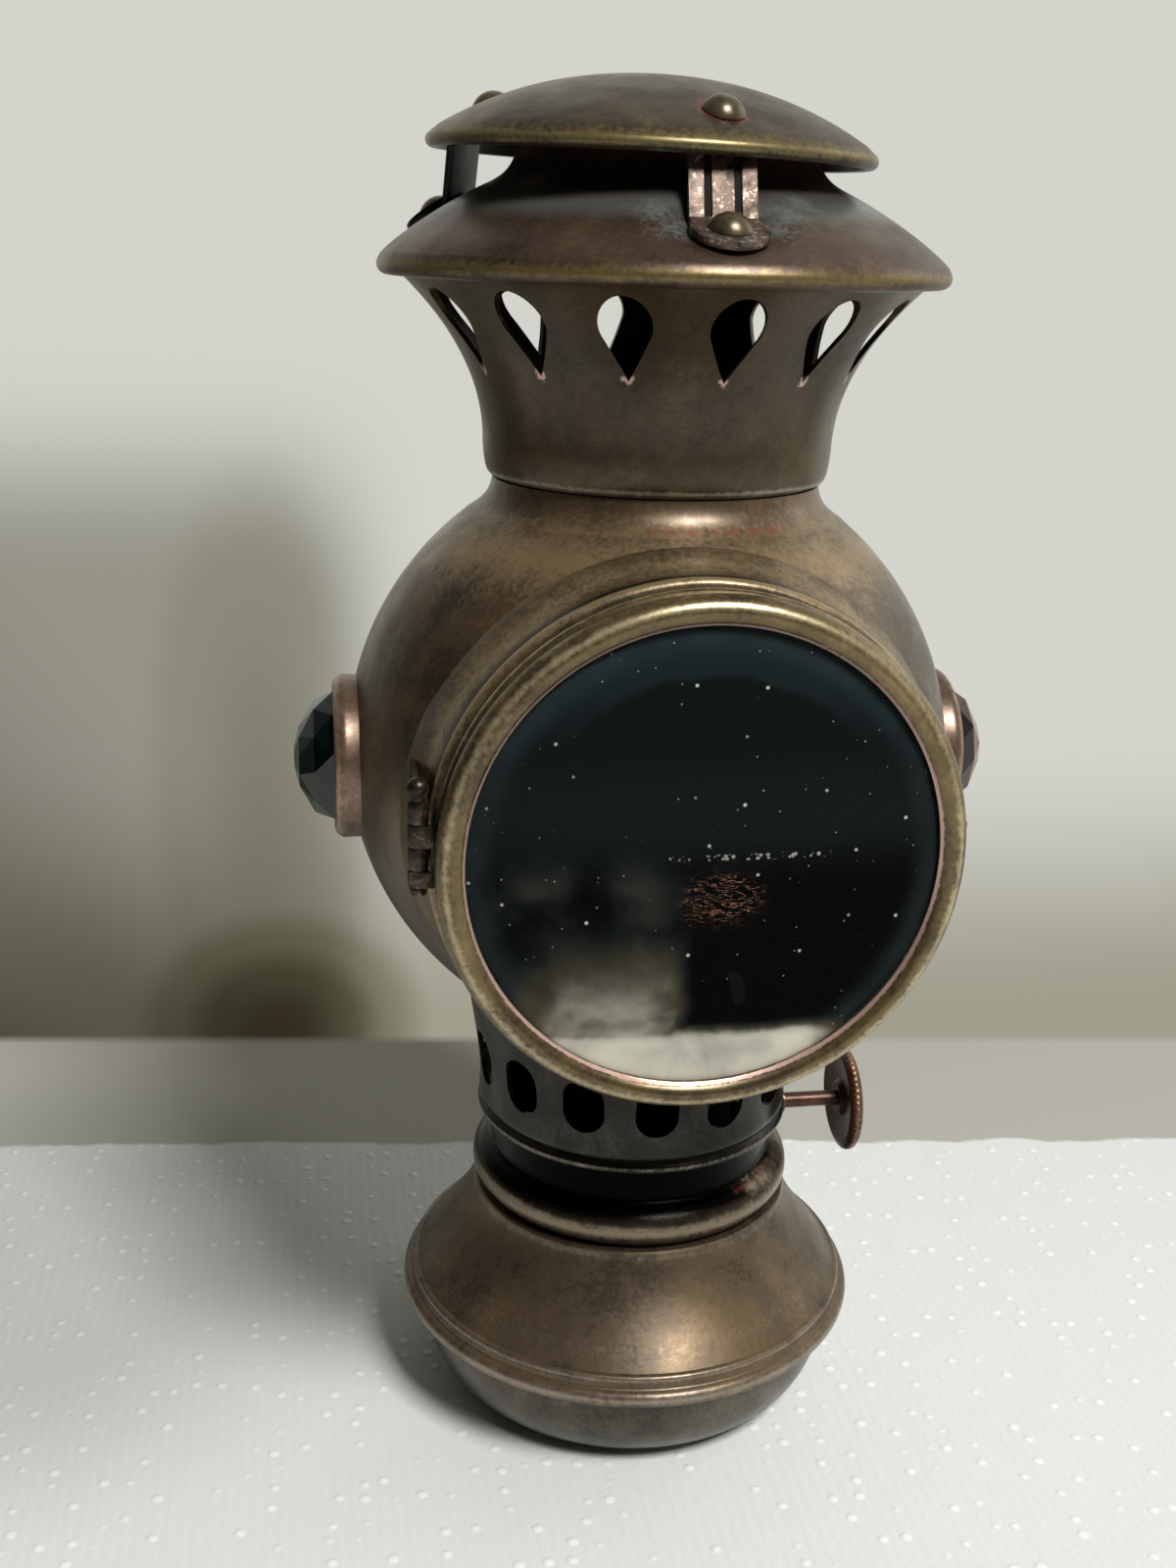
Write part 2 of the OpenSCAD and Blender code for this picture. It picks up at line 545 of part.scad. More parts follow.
// A rivet with its shoulder at z = 0, through sheets of the given depth
module rivet(depth) {
    translate([0, 0, sheet_gap]) turned(concat([[0, 0], [rivet_r, 0]], arc(0, -1.25, 3.02, 27, 90, 6)));
    translate([0, 0, -depth]) cylinder(r = shank_r, h = depth + 0.4, $fn = 32);
    translate([0, 0, -depth - 0.6]) cylinder(r = 1.35, h = 0.6, $fn = 32);
}

module hood_rivets() color(bronze) for (i = [0:2]) at_azimuth(strap_az[i]) foot_frame(i)
    translate([0, 0, strap_t + foot_gap]) rivet(strap_t + 1.8);

cap_top = 9.3;
cap_curve = curve([28.6, 1.4], [21, 6.2], [12, cap_top], [0, cap_top], 14);
module top_cap() color(bronze) difference() {
    cap_frame() turned(concat([[cap_r - 1.6, -0.9]], arc(cap_r - 1, 0, 1, -90, 45, 5), cap_curve,
        [[0, cap_top - wall]], back_to_front([for (i = [0:13]) cap_curve[i] - [0.4, wall]])));
    for (i = [0:2]) cap_hole(i);
}

module cap_rivets() color(bronze) cap_frame() for (i = [0:2]) at_azimuth(rivet_az[i]) head_frame()
    translate([-head_in[i], 0, wall + 0.1]) rivet(strap_t + wall + head_gap + 0.3);

fount_bowl();
fount_shoulder();
fount_neck();
burner_plate();
burner_basket();
burner_cone();
wick_tube();
wick();
spindle_gland();
wick_spindle();
wick_wheels();
wick_key();
gallery();
ball_body();
front_collar();
reflector();
reflector_post();
green_bezel();
green_jewel();
red_bezel();
red_jewel();
hinge_body_leaf();
hinge_pin();
hinge_door_leaf();
door_ring();
lens();
lens_wire();
catch_spring();
catch_rivet();
bracket_saddle();
bracket_rivets();
clamp_screw();
clamp_wing();
crown();
hood();
strap_front();
strap_left();
strap_right();
hood_rivets();
top_cap();
cap_rivets();
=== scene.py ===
import math

import bpy
from mathutils import Matrix, Vector


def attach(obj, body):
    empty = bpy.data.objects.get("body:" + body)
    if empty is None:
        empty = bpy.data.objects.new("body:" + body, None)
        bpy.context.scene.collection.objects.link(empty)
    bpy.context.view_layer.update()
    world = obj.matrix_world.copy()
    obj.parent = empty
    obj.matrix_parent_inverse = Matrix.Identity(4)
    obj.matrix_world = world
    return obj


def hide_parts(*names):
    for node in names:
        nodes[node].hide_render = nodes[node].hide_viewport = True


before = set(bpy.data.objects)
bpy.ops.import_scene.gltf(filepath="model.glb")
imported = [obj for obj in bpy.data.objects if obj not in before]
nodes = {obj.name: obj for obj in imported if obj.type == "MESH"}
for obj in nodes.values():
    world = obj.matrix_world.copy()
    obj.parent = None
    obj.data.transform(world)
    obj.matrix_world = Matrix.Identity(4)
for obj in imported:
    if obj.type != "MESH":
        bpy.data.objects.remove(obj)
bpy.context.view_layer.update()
mm = 0.001


# Camera
# The photograph looks slightly down on the lamp from its own right-hand side.
# One picture height is 1600 px and the lens's focal length 1736 of them.
camera = bpy.data.objects.new("camera", bpy.data.cameras.new("camera"))
camera.data.sensor_width = 36
camera.data.lens = 36 * 1736 / 1600
camera.location = (-46.88 * mm, -232.75 * mm, 172.09 * mm)
camera.rotation_euler = [math.radians(a) for a in (72.22, -1.56, -8.95)]
camera.data.clip_start = 0.01
bpy.context.collection.objects.link(camera)
bpy.context.scene.camera = camera
bpy.context.scene.view_settings.view_transform = "Standard"


# Table and room
# The lamp stands on a white embossed paper towel on a grey table, in front of a pale painted wall.
# The side of the room that the lamp faces is dim, and that is what its metal and glass mirror.
def linear(colour):
    """Turns an sRGB hex colour into the linear one that the shaders take."""
    parts = [int(colour[i:i + 2], 16) / 255 for i in (1, 3, 5)]
    return [c / 12.92 if c <= 0.04045 else ((c + 0.055) / 1.055) ** 2.4 for c in parts] + [1]


def wire(tree, node, **sources):
    """Links a node's inputs, named or numbered as i0, each to a socket or a node's first output."""
    for key, source in sources.items():
        name = int(key[1:]) if key[0] == "i" and key[1:].isdigit() else key.replace("_", " ")
        if isinstance(source, bpy.types.Node):
            source = next(output for output in source.outputs if output.enabled)
        tree.links.new(source, node.inputs[name])


def add(tree, kind, settings=None, **sources):
    """Adds a shader node, sets its properties, plain inputs and colour stops, and links others."""
    node = tree.nodes.new("ShaderNode" + kind)
    for key, value in (settings or {}).items():
        if key == "stops":
            steps = node.color_ramp.elements
            node.color_ramp.interpolation = "EASE"
            while len(steps) < len(value):
                steps.new(0.5)
            for step, (place, colour) in zip(steps, value):
                step.position = place
                step.color = linear(colour) if isinstance(colour, str) else [colour] * 3 + [1]
        elif isinstance(key, str) and hasattr(node, key):
            setattr(node, key, value)
        else:
            node.inputs[key].default_value = linear(value) if isinstance(value, str) else value
    wire(tree, node, **sources)
    return node


def every(size):
    """A pattern's scale, worked out from the real distance in mm at which it repeats."""
    return 1 / (size * mm)


# How the patterns of a finish are put together: one times or plus another, a share of one added to
# another, a colour laid over or darkening another, a soft step and a round spot
times, plus, share = {"operation": "MULTIPLY"}, {"operation": "ADD"}, {"operation": "MULTIPLY_ADD"}
over = {"data_type": "RGBA"}
darken = over | {"blend_type": "MULTIPLY", "Factor": 1.0}
soft, round_spot = {"interpolation_type": "SMOOTHSTEP"}, {"gradient_type": "SPHERICAL"}


def room(tree, direction):
    """The room's colour by direction: a pale wall behind the lamp and on the key's side, a dim room
    in front and on the other side, and a ceiling that darkens the same way."""
    along = add(tree, "VectorMath", {"operation": "NORMALIZE"}, i0=direction)
    back = add(tree, "VectorMath", {"operation": "DOT_PRODUCT", 1: (0.60, 0.80, 0.0)}, i0=along)
    level = add(tree, "MapRange", {"From Min": -1.0}, Value=back)
    walls = add(tree, "ValToRGB", {"stops": [
        (0.0, "#0d0c0a"), (0.22, "#211f1b"), (0.45, "#5d5a53"), (0.66, "#a9a79e"),
        (0.82, "#d3d3cb"), (1.0, "#d4d4cc")]}, Fac=level)
    raised = add(tree, "MapRange", {"From Min": -0.8, "From Max": 0.8}, Value=back)
    ceiling = add(tree, "ValToRGB", {"stops": [
        (0.0, "#24221f"), (0.5, "#686660"), (1.0, "#d2d0c8")]}, Fac=raised)
    height = add(tree, "SeparateXYZ", Vector=along).outputs["Z"]
    above = add(tree, "MapRange", soft | {"From Min": 0.25, "From Max": 0.80}, Value=height)
    return add(tree, "Mix", over, Factor=above, A=walls, B=ceiling)


world = bpy.data.worlds.new("room")
bpy.context.scene.world = world
world.use_nodes = True
tree = world.node_tree
tree.nodes.clear()
sky = add(tree, "Background", Color=room(tree, add(tree, "TexCoord").outputs["Generated"]))
add(tree, "OutputWorld", Surface=sky)

bpy.ops.object.select_all(action="DESELECT")
bpy.ops.mesh.primitive_plane_add(size=12, location=(0, 0, 0))
table = bpy.context.object
table.name = "table"
towel = bpy.data.materials.new("embossed paper towel, grey table and painted wall")
towel.use_nodes = True
tree = towel.node_tree
tree.nodes.clear()
place = add(tree, "TexCoord").outputs["Object"]
# Embossed dots 4 mm apart that catch the light, on ribs 2 mm apart, in a loose quilt of 17 mm.
# The paper's fibre is too fine to show and is drawn 0.7 mm wide. At a scale of 1, Blender's wave
# repeats every 0.314.
wave = 0.314
rows = add(tree, "TexVoronoi", {"Scale": every(4.0), "Randomness": 0.45}, Vector=place)
dots = add(tree, "ValToRGB", {"stops": [(0.08, 1.0), (0.26, 0.0)]}, Fac=rows)
ribs = add(tree, "TexWave", {"Scale": wave * every(1.962), "Distortion": 1.5, "Detail": 2.0,
                             "bands_direction": "X"}, Vector=place)
quilt = add(tree, "TexNoise", {"Scale": every(16.67), "Detail": 3.0}, Vector=place)
grain = add(tree, "TexNoise", {"Scale": every(0.6667), "Detail": 3.0}, Vector=place)
fibre = add(tree, "Math", share | {1: 0.35}, i0=grain, i2=dots)
fibre = add(tree, "Math", share | {1: 0.12}, i0=ribs, i2=fibre)
relief = add(tree, "Math", share | {1: 2.0}, i0=quilt, i2=fibre)
paper = add(tree, "ValToRGB", {"stops": [(0.0, "#dfe1e0"), (1.0, "#eff1f0")]}, Fac=dots)
# The towel's ragged end lies 65 mm behind the lamp's axis, and the wall starts at 111 mm
towel_end, wall_start = 68.0, 111.0
back = add(tree, "VectorMath", {"operation": "DOT_PRODUCT", 1: (0.101, 0.995, 0.0)}, i0=place)
ragged = add(tree, "Math", share | {1: 6 * mm}, i0=quilt, i2=back)
ends = add(tree, "MapRange", {"From Min": (towel_end - 0.5) * mm,
                              "From Max": (towel_end + 0.5) * mm}, Value=ragged)
cloth = add(tree, "Mix", over | {"B": "#b3b2aa"}, Factor=ends, A=paper)
# The side of the towel away from the key lies in half shade
dim = add(tree, "Mapping", {"vector_type": "TEXTURE", "Location": (-105 * mm, 35 * mm, 0.0),
                            "Scale": (80 * mm, 80 * mm, 1.0)}, Vector=place)
dim = add(tree, "TexGradient", round_spot, Vector=dim)
dim = add(tree, "ValToRGB", {"stops": [(0.0, "#ffffff"), (0.6, "#dadbda")]}, Fac=dim)
cloth = add(tree, "Mix", darken, A=cloth, B=dim)
pressed = add(tree, "MapRange", {"To Min": 0.3, "To Max": 0.02}, Value=ends)
bump = add(tree, "Bump", {"Distance": 0.6 * mm}, Strength=pressed, Height=relief)
covered = add(tree, "BsdfDiffuse", Color=cloth, Normal=bump)
# The wall behind is laid out by direction (left) and by nearness (low), from a spot on the floor
# in front of the lamp
stand = (-0.047, -0.233)
spot = add(tree, "SeparateXYZ", Vector=place)
aside = add(tree, "Math", plus | {1: -stand[0]}, i0=spot.outputs["X"])
away = add(tree, "Math", plus | {1: -stand[1]}, i0=spot.outputs["Y"])
low = add(tree, "Math", {"operation": "DIVIDE", 0: 1.0}, i1=away)
left = add(tree, "Math", {"operation": "DIVIDE"}, i0=aside, i1=away)
spread = add(tree, "CombineXYZ", X=left, Y=low)
# Its half shade is one wide soft step that starts above the ball and ends at the lamp, and it
# fades again far to the side, past what the photograph shows
rise = add(tree, "MapRange", soft | {"From Min": 0.25, "From Max": 1.25}, Value=low)
side = add(tree, "MapRange", soft | {"From Min": 0.09, "From Max": -0.03}, Value=left)
fade = add(tree, "MapRange", soft | {"From Min": -1.3, "From Max": -0.3}, Value=left)
side = add(tree, "Math", times, i0=side, i1=fade)
half = add(tree, "Math", times, i0=rise, i1=side)
shades = [(half, [(0.0, "#ffffff"), (1.0, "#b6b4ac")])]
# Over it are painted a wide faint shadow and the lamp's own shadow, dark at the wall's foot
for middle, size, stops in (
        ((-0.035, 1.90, 0.0), (0.075, 1.30, 1.0),
         [(0.0, "#ffffff"), (0.35, "#efeeea"), (1.0, "#dcdad3")]),
        ((-0.025, 2.80, 0.0), (0.100, 0.50, 1.0),
         [(0.0, "#ffffff"), (0.3, "#dbd8cf"), (0.6, "#aba698"), (0.9, "#8f887b")])):
    shadow_spot = add(tree, "Mapping", {"vector_type": "TEXTURE", "Location": middle, "Scale": size},
                 Vector=spread)
    shades.append((add(tree, "TexGradient", round_spot, Vector=shadow_spot), stops))
foot = add(tree, "MapRange", {"From Min": 1.7, "From Max": 2.85}, Value=low)
shades.append((foot, [(0.0, "#ffffff"), (1.0, "#c2bfb2")]))
paint = room(tree, place)
for amount, stops in shades:
    shade = add(tree, "ValToRGB", {"stops": stops}, Fac=amount)
    paint = add(tree, "Mix", darken, A=paint, B=shade)
wall = add(tree, "Emission", Color=paint)
far = add(tree, "MapRange", {"From Min": (wall_start - 2) * mm, "From Max": (wall_start + 2) * mm},
          Value=back)
near = add(tree, "MixShader", Fac=far, i1=covered, i2=wall)
# In front of the lamp the table runs out into the dim room
reach = add(tree, "VectorMath", {"operation": "LENGTH"}, i0=place)
edge = add(tree, "MapRange", soft | {"From Min": 0.40, "From Max": 0.9}, Value=reach)
add(tree, "OutputMaterial", Surface=add(tree, "MixShader", Fac=edge, i1=near, i2=wall))
table.data.materials.append(towel)


def soft_light(name, place, size, power, colour):
    """A soft light that looks at the middle of the lamp."""
    data = bpy.data.lights.new(name, "AREA")
    data.size = size
    data.energy = power
    data.color = linear(colour)[:3]
    light = bpy.data.objects.new(name, data)
    light.location = place
    look = Vector((0, 0, 0.1)) - Vector(place)
    light.rotation_euler = look.to_track_quat("-Z", "Y").to_euler()
    bpy.context.collection.objects.link(light)


soft_light("ceiling_light", (0.27, -0.63, 0.94), 0.30, 13.5, "#fffefb")
soft_light("window_light", (0.95, 0.25, 0.60), 0.5, 0.7, "#fbfdff")


# Fount bowl
# The bottom half of the oil fount, spun from sheet brass and dipped in a brown lacquer.
# It stands on its flat base, and its flange is closed into the shoulder's rolled seam.
def arc(cx, cy, r, start, end, steps):
    """Points of an arc about (cx, cy), in mm and degrees."""
    turn = [math.radians(start + (end - start) * i / steps) for i in range(steps + 1)]
    return [(cx + r * math.cos(a), cy + r * math.sin(a)) for a in turn]


def curve(a, b, c, d, steps):
    """Points of a smooth curve from a to d, pulled towards b and c."""
    return [tuple((1 - t) ** 3 * a[i] + 3 * t * (1 - t) ** 2 * b[i] + 3 * t * t * (1 - t) * c[i]
                  + t ** 3 * d[i] for i in (0, 1)) for t in [k / steps for k in range(steps + 1)]]


def lined(outline, sheet):
    """Closes an outer outline into sheet metal: the same curve again, moved inwards along its
    normal."""
    inner = []
    for i, (r, z) in enumerate(outline):
        ahead, behind = outline[min(i + 1, len(outline) - 1)], outline[max(i - 1, 0)]
        dr, dz = ahead[0] - behind[0], ahead[1] - behind[1]
        size = math.hypot(dr, dz) or 1
        inner.append((max(0.0, r - sheet * dz / size), z + sheet * dr / size))
    return outline + inner[::-1] + [outline[0]]


def turned(name, outline, steps=120):
    """Traces half a section by extruding a point, spins it round the lamp's axis and closes it."""
    bpy.ops.object.select_all(action="DESELECT")
    bpy.ops.mesh.primitive_plane_add(size=mm)
    piece = bpy.context.object
    piece.name = name
    bpy.ops.object.mode_set(mode="EDIT")
    bpy.ops.mesh.select_mode(type="VERT")
    bpy.ops.mesh.merge(type="CENTER")
    bpy.ops.transform.translate(value=(outline[0][0] * mm, 0, outline[0][1] * mm))
    for a, b in zip(outline, outline[1:]):
        step = ((b[0] - a[0]) * mm, 0, (b[1] - a[1]) * mm)
        bpy.ops.mesh.extrude_region_move(TRANSFORM_OT_translate={"value": step})
    bpy.ops.mesh.select_all(action="SELECT")
    bpy.ops.mesh.spin(steps=steps, angle=2 * math.pi, center=(0, 0, 0), axis=(0, 0, 1))
    bpy.ops.mesh.select_all(action="SELECT")
    bpy.ops.mesh.remove_doubles(threshold=3e-6)
    bpy.ops.mesh.normals_make_consistent(inside=False)
    bpy.ops.object.mode_set(mode="OBJECT")
    return piece


RUBBED_AND_LIT, COPPER, STAIN_AND_SHADE = 0, 1, 2


def marked(piece, spots):
    """Paints three colour channels: rubbed metal and painted highlights, bare copper, and stains of
    old polish and painted shade. A spot is a ring (r, z) or a point (x, y, z) in mm, its reach,
    mark and strength."""
    marks = piece.data.attributes.new("marks", "FLOAT_COLOR", "POINT")
    for vertex, mark in zip(piece.data.vertices, marks.data):
        x, y, z = [c / mm for c in vertex.co]
        shade = [0.0, 0.0, 0.0, 1.0]
        for where, reach, channel, strength in spots:
            if len(where) == 2:
                away = math.hypot(math.hypot(x, y) - where[0], z - where[1])
            else:
                away = math.dist((x, y, z), where)
            shade[channel] = max(shade[channel], strength * max(0.0, 1 - away / reach))
        mark.color = shade


def picked(*pieces):
    """Selects these pieces alone and makes the first one active."""
    bpy.ops.object.select_all(action="DESELECT")
    for piece in pieces:
        piece.select_set(True)
    bpy.context.view_layer.objects.active = pieces[0]
    return pieces[0]


def settled(piece, body, slot, finish, solid, turn=(0, 0, 0), place=(0, 0, 0), sharp=32):
    """Puts a piece in its place, smooths it, gives it its finish and hands it to its body."""
    picked(piece)
    piece.rotation_euler = [math.radians(a) for a in turn]
    piece.location = [c * mm for c in place]
    bpy.ops.object.transform_apply(location=True, rotation=True, scale=True)
    bpy.ops.object.shade_smooth_by_angle(angle=math.radians(sharp))
    piece.data.materials.clear()
    piece.data.materials.append(finish)
    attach(piece, body)
    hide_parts(solid)


def new_finish(name, values):
    """Starts a finish and gives back its material, its node tree, its shader with the plain values
    set, and the place on the lamp that its patterns read."""
    finish = bpy.data.materials.new(name)
    finish.use_nodes = True
    shader = finish.node_tree.nodes["Principled BSDF"]
    for key, value in values.items():
        shader.inputs[key].default_value = linear(value) if isinstance(value, str) else value
    place = add(finish.node_tree, "TexCoord").outputs["Object"]
    return finish, finish.node_tree, shader, place


def aged_brass(name, dark, mid, light, rubbed_and_lit="#8f7a42", rough=0.36, height_band=None, stain_and_shade="#8c4038",
               metal=0.62, coat=0.3, shine=0.5):
    """Spun sheet brass under old brown lacquer, varied in clouds of 25 mm, blotches of 6 mm and
    specks that are drawn 0.8 mm wide to show. The brown film is partly matt, so it takes light on
    its high side. The marks show rubbed metal and painted highlights, bare copper, and stains and
    painted shade. A height band is a colour laid between two heights in mm, with its stops."""
    brass, tree, shader, place = new_finish(name, {
        "Metallic": metal, "Coat Weight": coat, "Coat Roughness": 0.28,
        "Specular IOR Level": shine})
    clouds, blotch, specks = [
        add(tree, "TexNoise", {"Scale": every(size), "Detail": detail, "Roughness": roughness},
            Vector=place)
        for size, detail, roughness in ((25, 4.0, 0.55), (6.06, 5.0, 0.65), (0.7692, 3.0, 0.7))]
    tone = add(tree, "Math", share | {1: 0.55}, i0=blotch, i2=clouds)
    tone = add(tree, "Math", share | {1: 0.45}, i0=specks, i2=tone)
    # The three noises add to 0.7 to 1.3
    tone = add(tree, "MapRange", {"From Min": 0.74, "From Max": 1.26}, Value=tone)
    colour = add(tree, "ValToRGB", {"stops": [(0.15, dark), (0.5, mid), (0.9, light)]}, Fac=tone)
    if height_band:
        tint, low, high, stops = height_band
        height = add(tree, "SeparateXYZ", Vector=place).outputs["Z"]
        lifted = add(tree, "Math", share | {1: (high - low) * mm}, i0=clouds, i2=height)
        within = add(tree, "MapRange", {"From Min": (low + high) / 2 * mm,
                                        "From Max": (high * 1.5 - low / 2) * mm}, Value=lifted)
        amount = add(tree, "ValToRGB", {"stops": stops}, Fac=within)
        colour = add(tree, "Mix", over | {"B": tint}, Factor=amount, A=colour)
    marks = add(tree, "Attribute", {"attribute_name": "marks"}).outputs["Color"]
    marks = add(tree, "SeparateColor", Color=marks)
    broken = add(tree, "Math", share | {1: 0.5, 2: -0.25}, i0=blotch)
    fine = add(tree, "Math", share | {1: 0.7, 2: -0.35}, i0=specks)
    torn = add(tree, "Math", plus, i0=broken, i1=fine)
    # The channels lay rubbed metal and painted highlights, stains and painted shade, and bare
    # copper
    for socket, tint, start, end in (("Red", rubbed_and_lit, 0.25, 0.85), ("Blue", stain_and_shade, 0.35, 0.9),
                                     ("Green", "#d8b4a6", 0.42, 0.62)):
        amount = add(tree, "Math", plus, i0=marks.outputs[socket], i1=torn)
        amount = add(tree, "MapRange", soft | {"From Min": start, "From Max": end}, Value=amount)
        colour = add(tree, "Mix", over | {"B": tint}, Factor=amount, A=colour)
    gloss = add(tree, "MapRange", {"From Min": 0.3, "From Max": 0.7, "To Min": rough + 0.1,
                                   "To Max": rough - 0.05}, Value=blotch)
    hammered = add(tree, "Math", share | {1: 0.12}, i0=specks, i2=blotch)
    bump = add(tree, "Bump", {"Strength": 0.10, "Distance": 0.6 * mm}, Height=hammered)
    wire(tree, shader, Base_Color=colour, Roughness=gloss, Normal=bump)
    return brass


sheet = 0.8
bowl_brass = aged_brass("brown lacquered brass of the bowl", "#34312a", "#4e493d", "#645d4f",
                        rubbed_and_lit="#77705f")
bowl = turned("bowl", lined(
    [(0.0, 0.0), (18.4, 0.0), (19.6, 0.15)]
    + [(20 + 12 * math.sin(a) ** 0.8, 13.4 * (1 - math.cos(a) ** 0.8))
       for a in [math.radians(i * 90 / 20) for i in range(1, 20)]]
    + [(32.0, 13.3), (33.3, 13.4)], sheet))
marked(bowl, [((20.5, 0.4), 1.6, RUBBED_AND_LIT, 0.4), ((31.9, 11.5), 2.5, RUBBED_AND_LIT, 0.35)])
settled(bowl, "fount", "dark_patina", bowl_brass, "fount_bowl")


# Fount shoulder
# The spun upper half of the fount. Its foot is rolled over the bowl's flange into the round seam,
# and a fine ridge runs above the seam. Handling has rubbed both to brighter metal, and they and a
# band of the shoulder are painted lighter still as painted highlights.
shoulder_brass = aged_brass("brown lacquered brass of the shoulder", "#463c2f", "#625443",
                            "#776349", rubbed_and_lit="#95887a", coat=0.15)
shoulder_line = (arc(33.9, 15.6, 1.3, -80, 62, 12) + arc(34.3, 17.3, 0.45, 250, 200, 4)
                 + arc(33.1, 18.15, 0.75, -20, 60, 6)
                 + curve((33.0, 18.9), (29.7, 22.9), (26.2, 26.6), (24.3, 32.0), 22)
                 + [(24.2, 32.7), (23.9, 32.9), (21.2, 32.9)])
shoulder = turned("shoulder", lined(shoulder_line, sheet), 144)
# Painted highlights over rubbed metal on the seam, the ridge, a band of the shoulder and its top
marked(shoulder, [((35.2, 15.8), 1.4, RUBBED_AND_LIT, 0.8), ((33.8, 18.3), 0.9, RUBBED_AND_LIT, 0.65),
                  ((31.0, 21.0), 5.0, RUBBED_AND_LIT, 0.32), ((24.2, 32.0), 1.2, RUBBED_AND_LIT, 0.4)])
settled(shoulder, "fount", "patina", shoulder_brass, "fount_shoulder")


# Fount neck
# A spun collar soldered into the shoulder, with a heavy round bead and a taper that the gallery
# hangs over. Its upper part is painted nearly black, for soot and as painted shade under the
# gallery, the bead's front and the right of its top carry painted highlights, and red polish has
# dried behind the bead.
def around(radius, azimuth, height):
    """A point in mm at an azimuth from the lamp's front."""
    turn = math.radians(azimuth)
    return radius * math.sin(turn), -radius * math.cos(turn), height


# Above 37 mm it is painted nearly black, as painted shade under the gallery and soot
neck_brass = aged_brass("sooty brass of the neck", "#3a352c", "#544c40", "#6c6354",
                        rubbed_and_lit="#857765", rough=0.24, coat=0.0, metal=0.8, shine=0.1,
                        height_band=("#040404", 37.2, 38.6, [(0.0, 0.0), (1.0, 1.0)]))
neck_line = ([(20.9, 32.95), (22.0, 32.95), (22.25, 33.05)] + arc(21.0, 36.2, 3.4, -66, 72, 22)
             + [(21.75, 39.65), (21.6, 39.9), (21.5, 40.25), (21.45, 40.8), (21.45, 44.5),
                (21.45, 48.35), (20.9, 48.4), (20.9, 40.0), (20.9, 32.95)])
neck = turned("neck", neck_line, 144)
# Painted highlights on the bead's front and on the right of its top, and red polish behind it
marked(neck, [((24.4, 36.0), 2.3, RUBBED_AND_LIT, 0.85)]
       + [(around(23.2, a, 38.6), 3.4, RUBBED_AND_LIT, 0.8) for a in range(42, 100, 6)]
       + [(around(22.6, a, 39.4), 2.2, STAIN_AND_SHADE, 0.62) for a in range(34, 70, 5)])
settled(neck, "fount", "patina", neck_brass, "fount_neck")


# Wick key
# A turned and dished disc with a finely milled edge, soft-soldered to a thin spindle. The lacquer
# has gone, and both are red-brown with the edge rubbed bright.
def finished(name, finish):
    """Gives one of the solids its finish."""
    nodes[name].data.materials.clear()
    nodes[name].data.materials.append(finish)


key_brass = aged_brass("red-brown brass of the wick key", "#3a211a", "#5a3527", "#7c4a36",
                       rubbed_and_lit="#9a7a55", rough=0.42)
key_columns = 144
key = turned("key_disc", [(1.25, 0.3), (2.4, 0.3), (3.0, 0.95), (5.0, 0.75), (7.0, 0.5)]
             + arc(7.3, 1.5, 0.9, -90, 90, 10)
             + [(7.0, 2.5), (5.0, 2.15), (3.0, 1.9), (2.2, 2.4), (1.25, 2.4), (1.25, 0.3)],
             key_columns)
# Every third column of the rim is pressed in by 0.15 mm, which makes 48 fine grooves
rim, groove = 7.75, 0.982
for vertex in key.data.vertices:
    column = round(math.atan2(vertex.co.y, vertex.co.x) / (2 * math.pi) * key_columns)
    if math.hypot(vertex.co.x, vertex.co.y) > rim * mm and column % 3 == 0:
        vertex.co.x *= groove
        vertex.co.y *= groove
marked(key, [((8.2, 1.5), 1.0, RUBBED_AND_LIT, 0.6), ((2.4, 2.4), 1.0, RUBBED_AND_LIT, 0.5)])
settled(key, "key", "key_brown", key_brass, "wick_key", turn=(0, 90, 0), place=(32.9, 0, 43.2),
        sharp=25)
finished("wick_spindle", key_brass)


# Gallery
# The body's lower ring, spun with a rolled lip and soldered under the ball. Fourteen round-ended
# air holes are punched in it. It is dark with oil and soot.
def cut(piece, cutters):
    """Punches holes: joins the cutters, takes them out of the piece and deletes them."""
    punch = picked(*cutters)
    bpy.ops.object.join()
    picked(piece)
    holes = piece.modifiers.new("holes", "BOOLEAN")
    holes.operation = "DIFFERENCE"
    holes.solver = "EXACT"
    holes.object = punch
    bpy.ops.object.modifier_apply(modifier="holes")
    bpy.data.objects.remove(punch)


def punched(azimuth, height, shape, near, far):
    """A punch with an outline (across, up) in mm, run outwards at an azimuth from the front."""
    bpy.ops.object.select_all(action="DESELECT")
    bpy.ops.mesh.primitive_circle_add(vertices=len(shape), radius=mm, fill_type="NGON")
    punch = bpy.context.object
    for vertex, (across, up) in zip(punch.data.vertices, shape):
        vertex.co = (across * mm, up * mm, 0)
    bpy.ops.object.mode_set(mode="EDIT")
    bpy.ops.mesh.select_all(action="SELECT")
    bpy.ops.mesh.extrude_region_move(TRANSFORM_OT_translate={"value": (0, 0, (far - near) * mm)})
    bpy.ops.mesh.select_all(action="SELECT")
    bpy.ops.mesh.normals_make_consistent(inside=False)
    bpy.ops.object.mode_set(mode="OBJECT")
    punch.rotation_euler = (math.radians(90), 0, math.radians(azimuth))
    punch.location = [c * mm for c in around(near, azimuth, height)]
    bpy.ops.object.transform_apply(location=True, rotation=True, scale=True)
    return punch


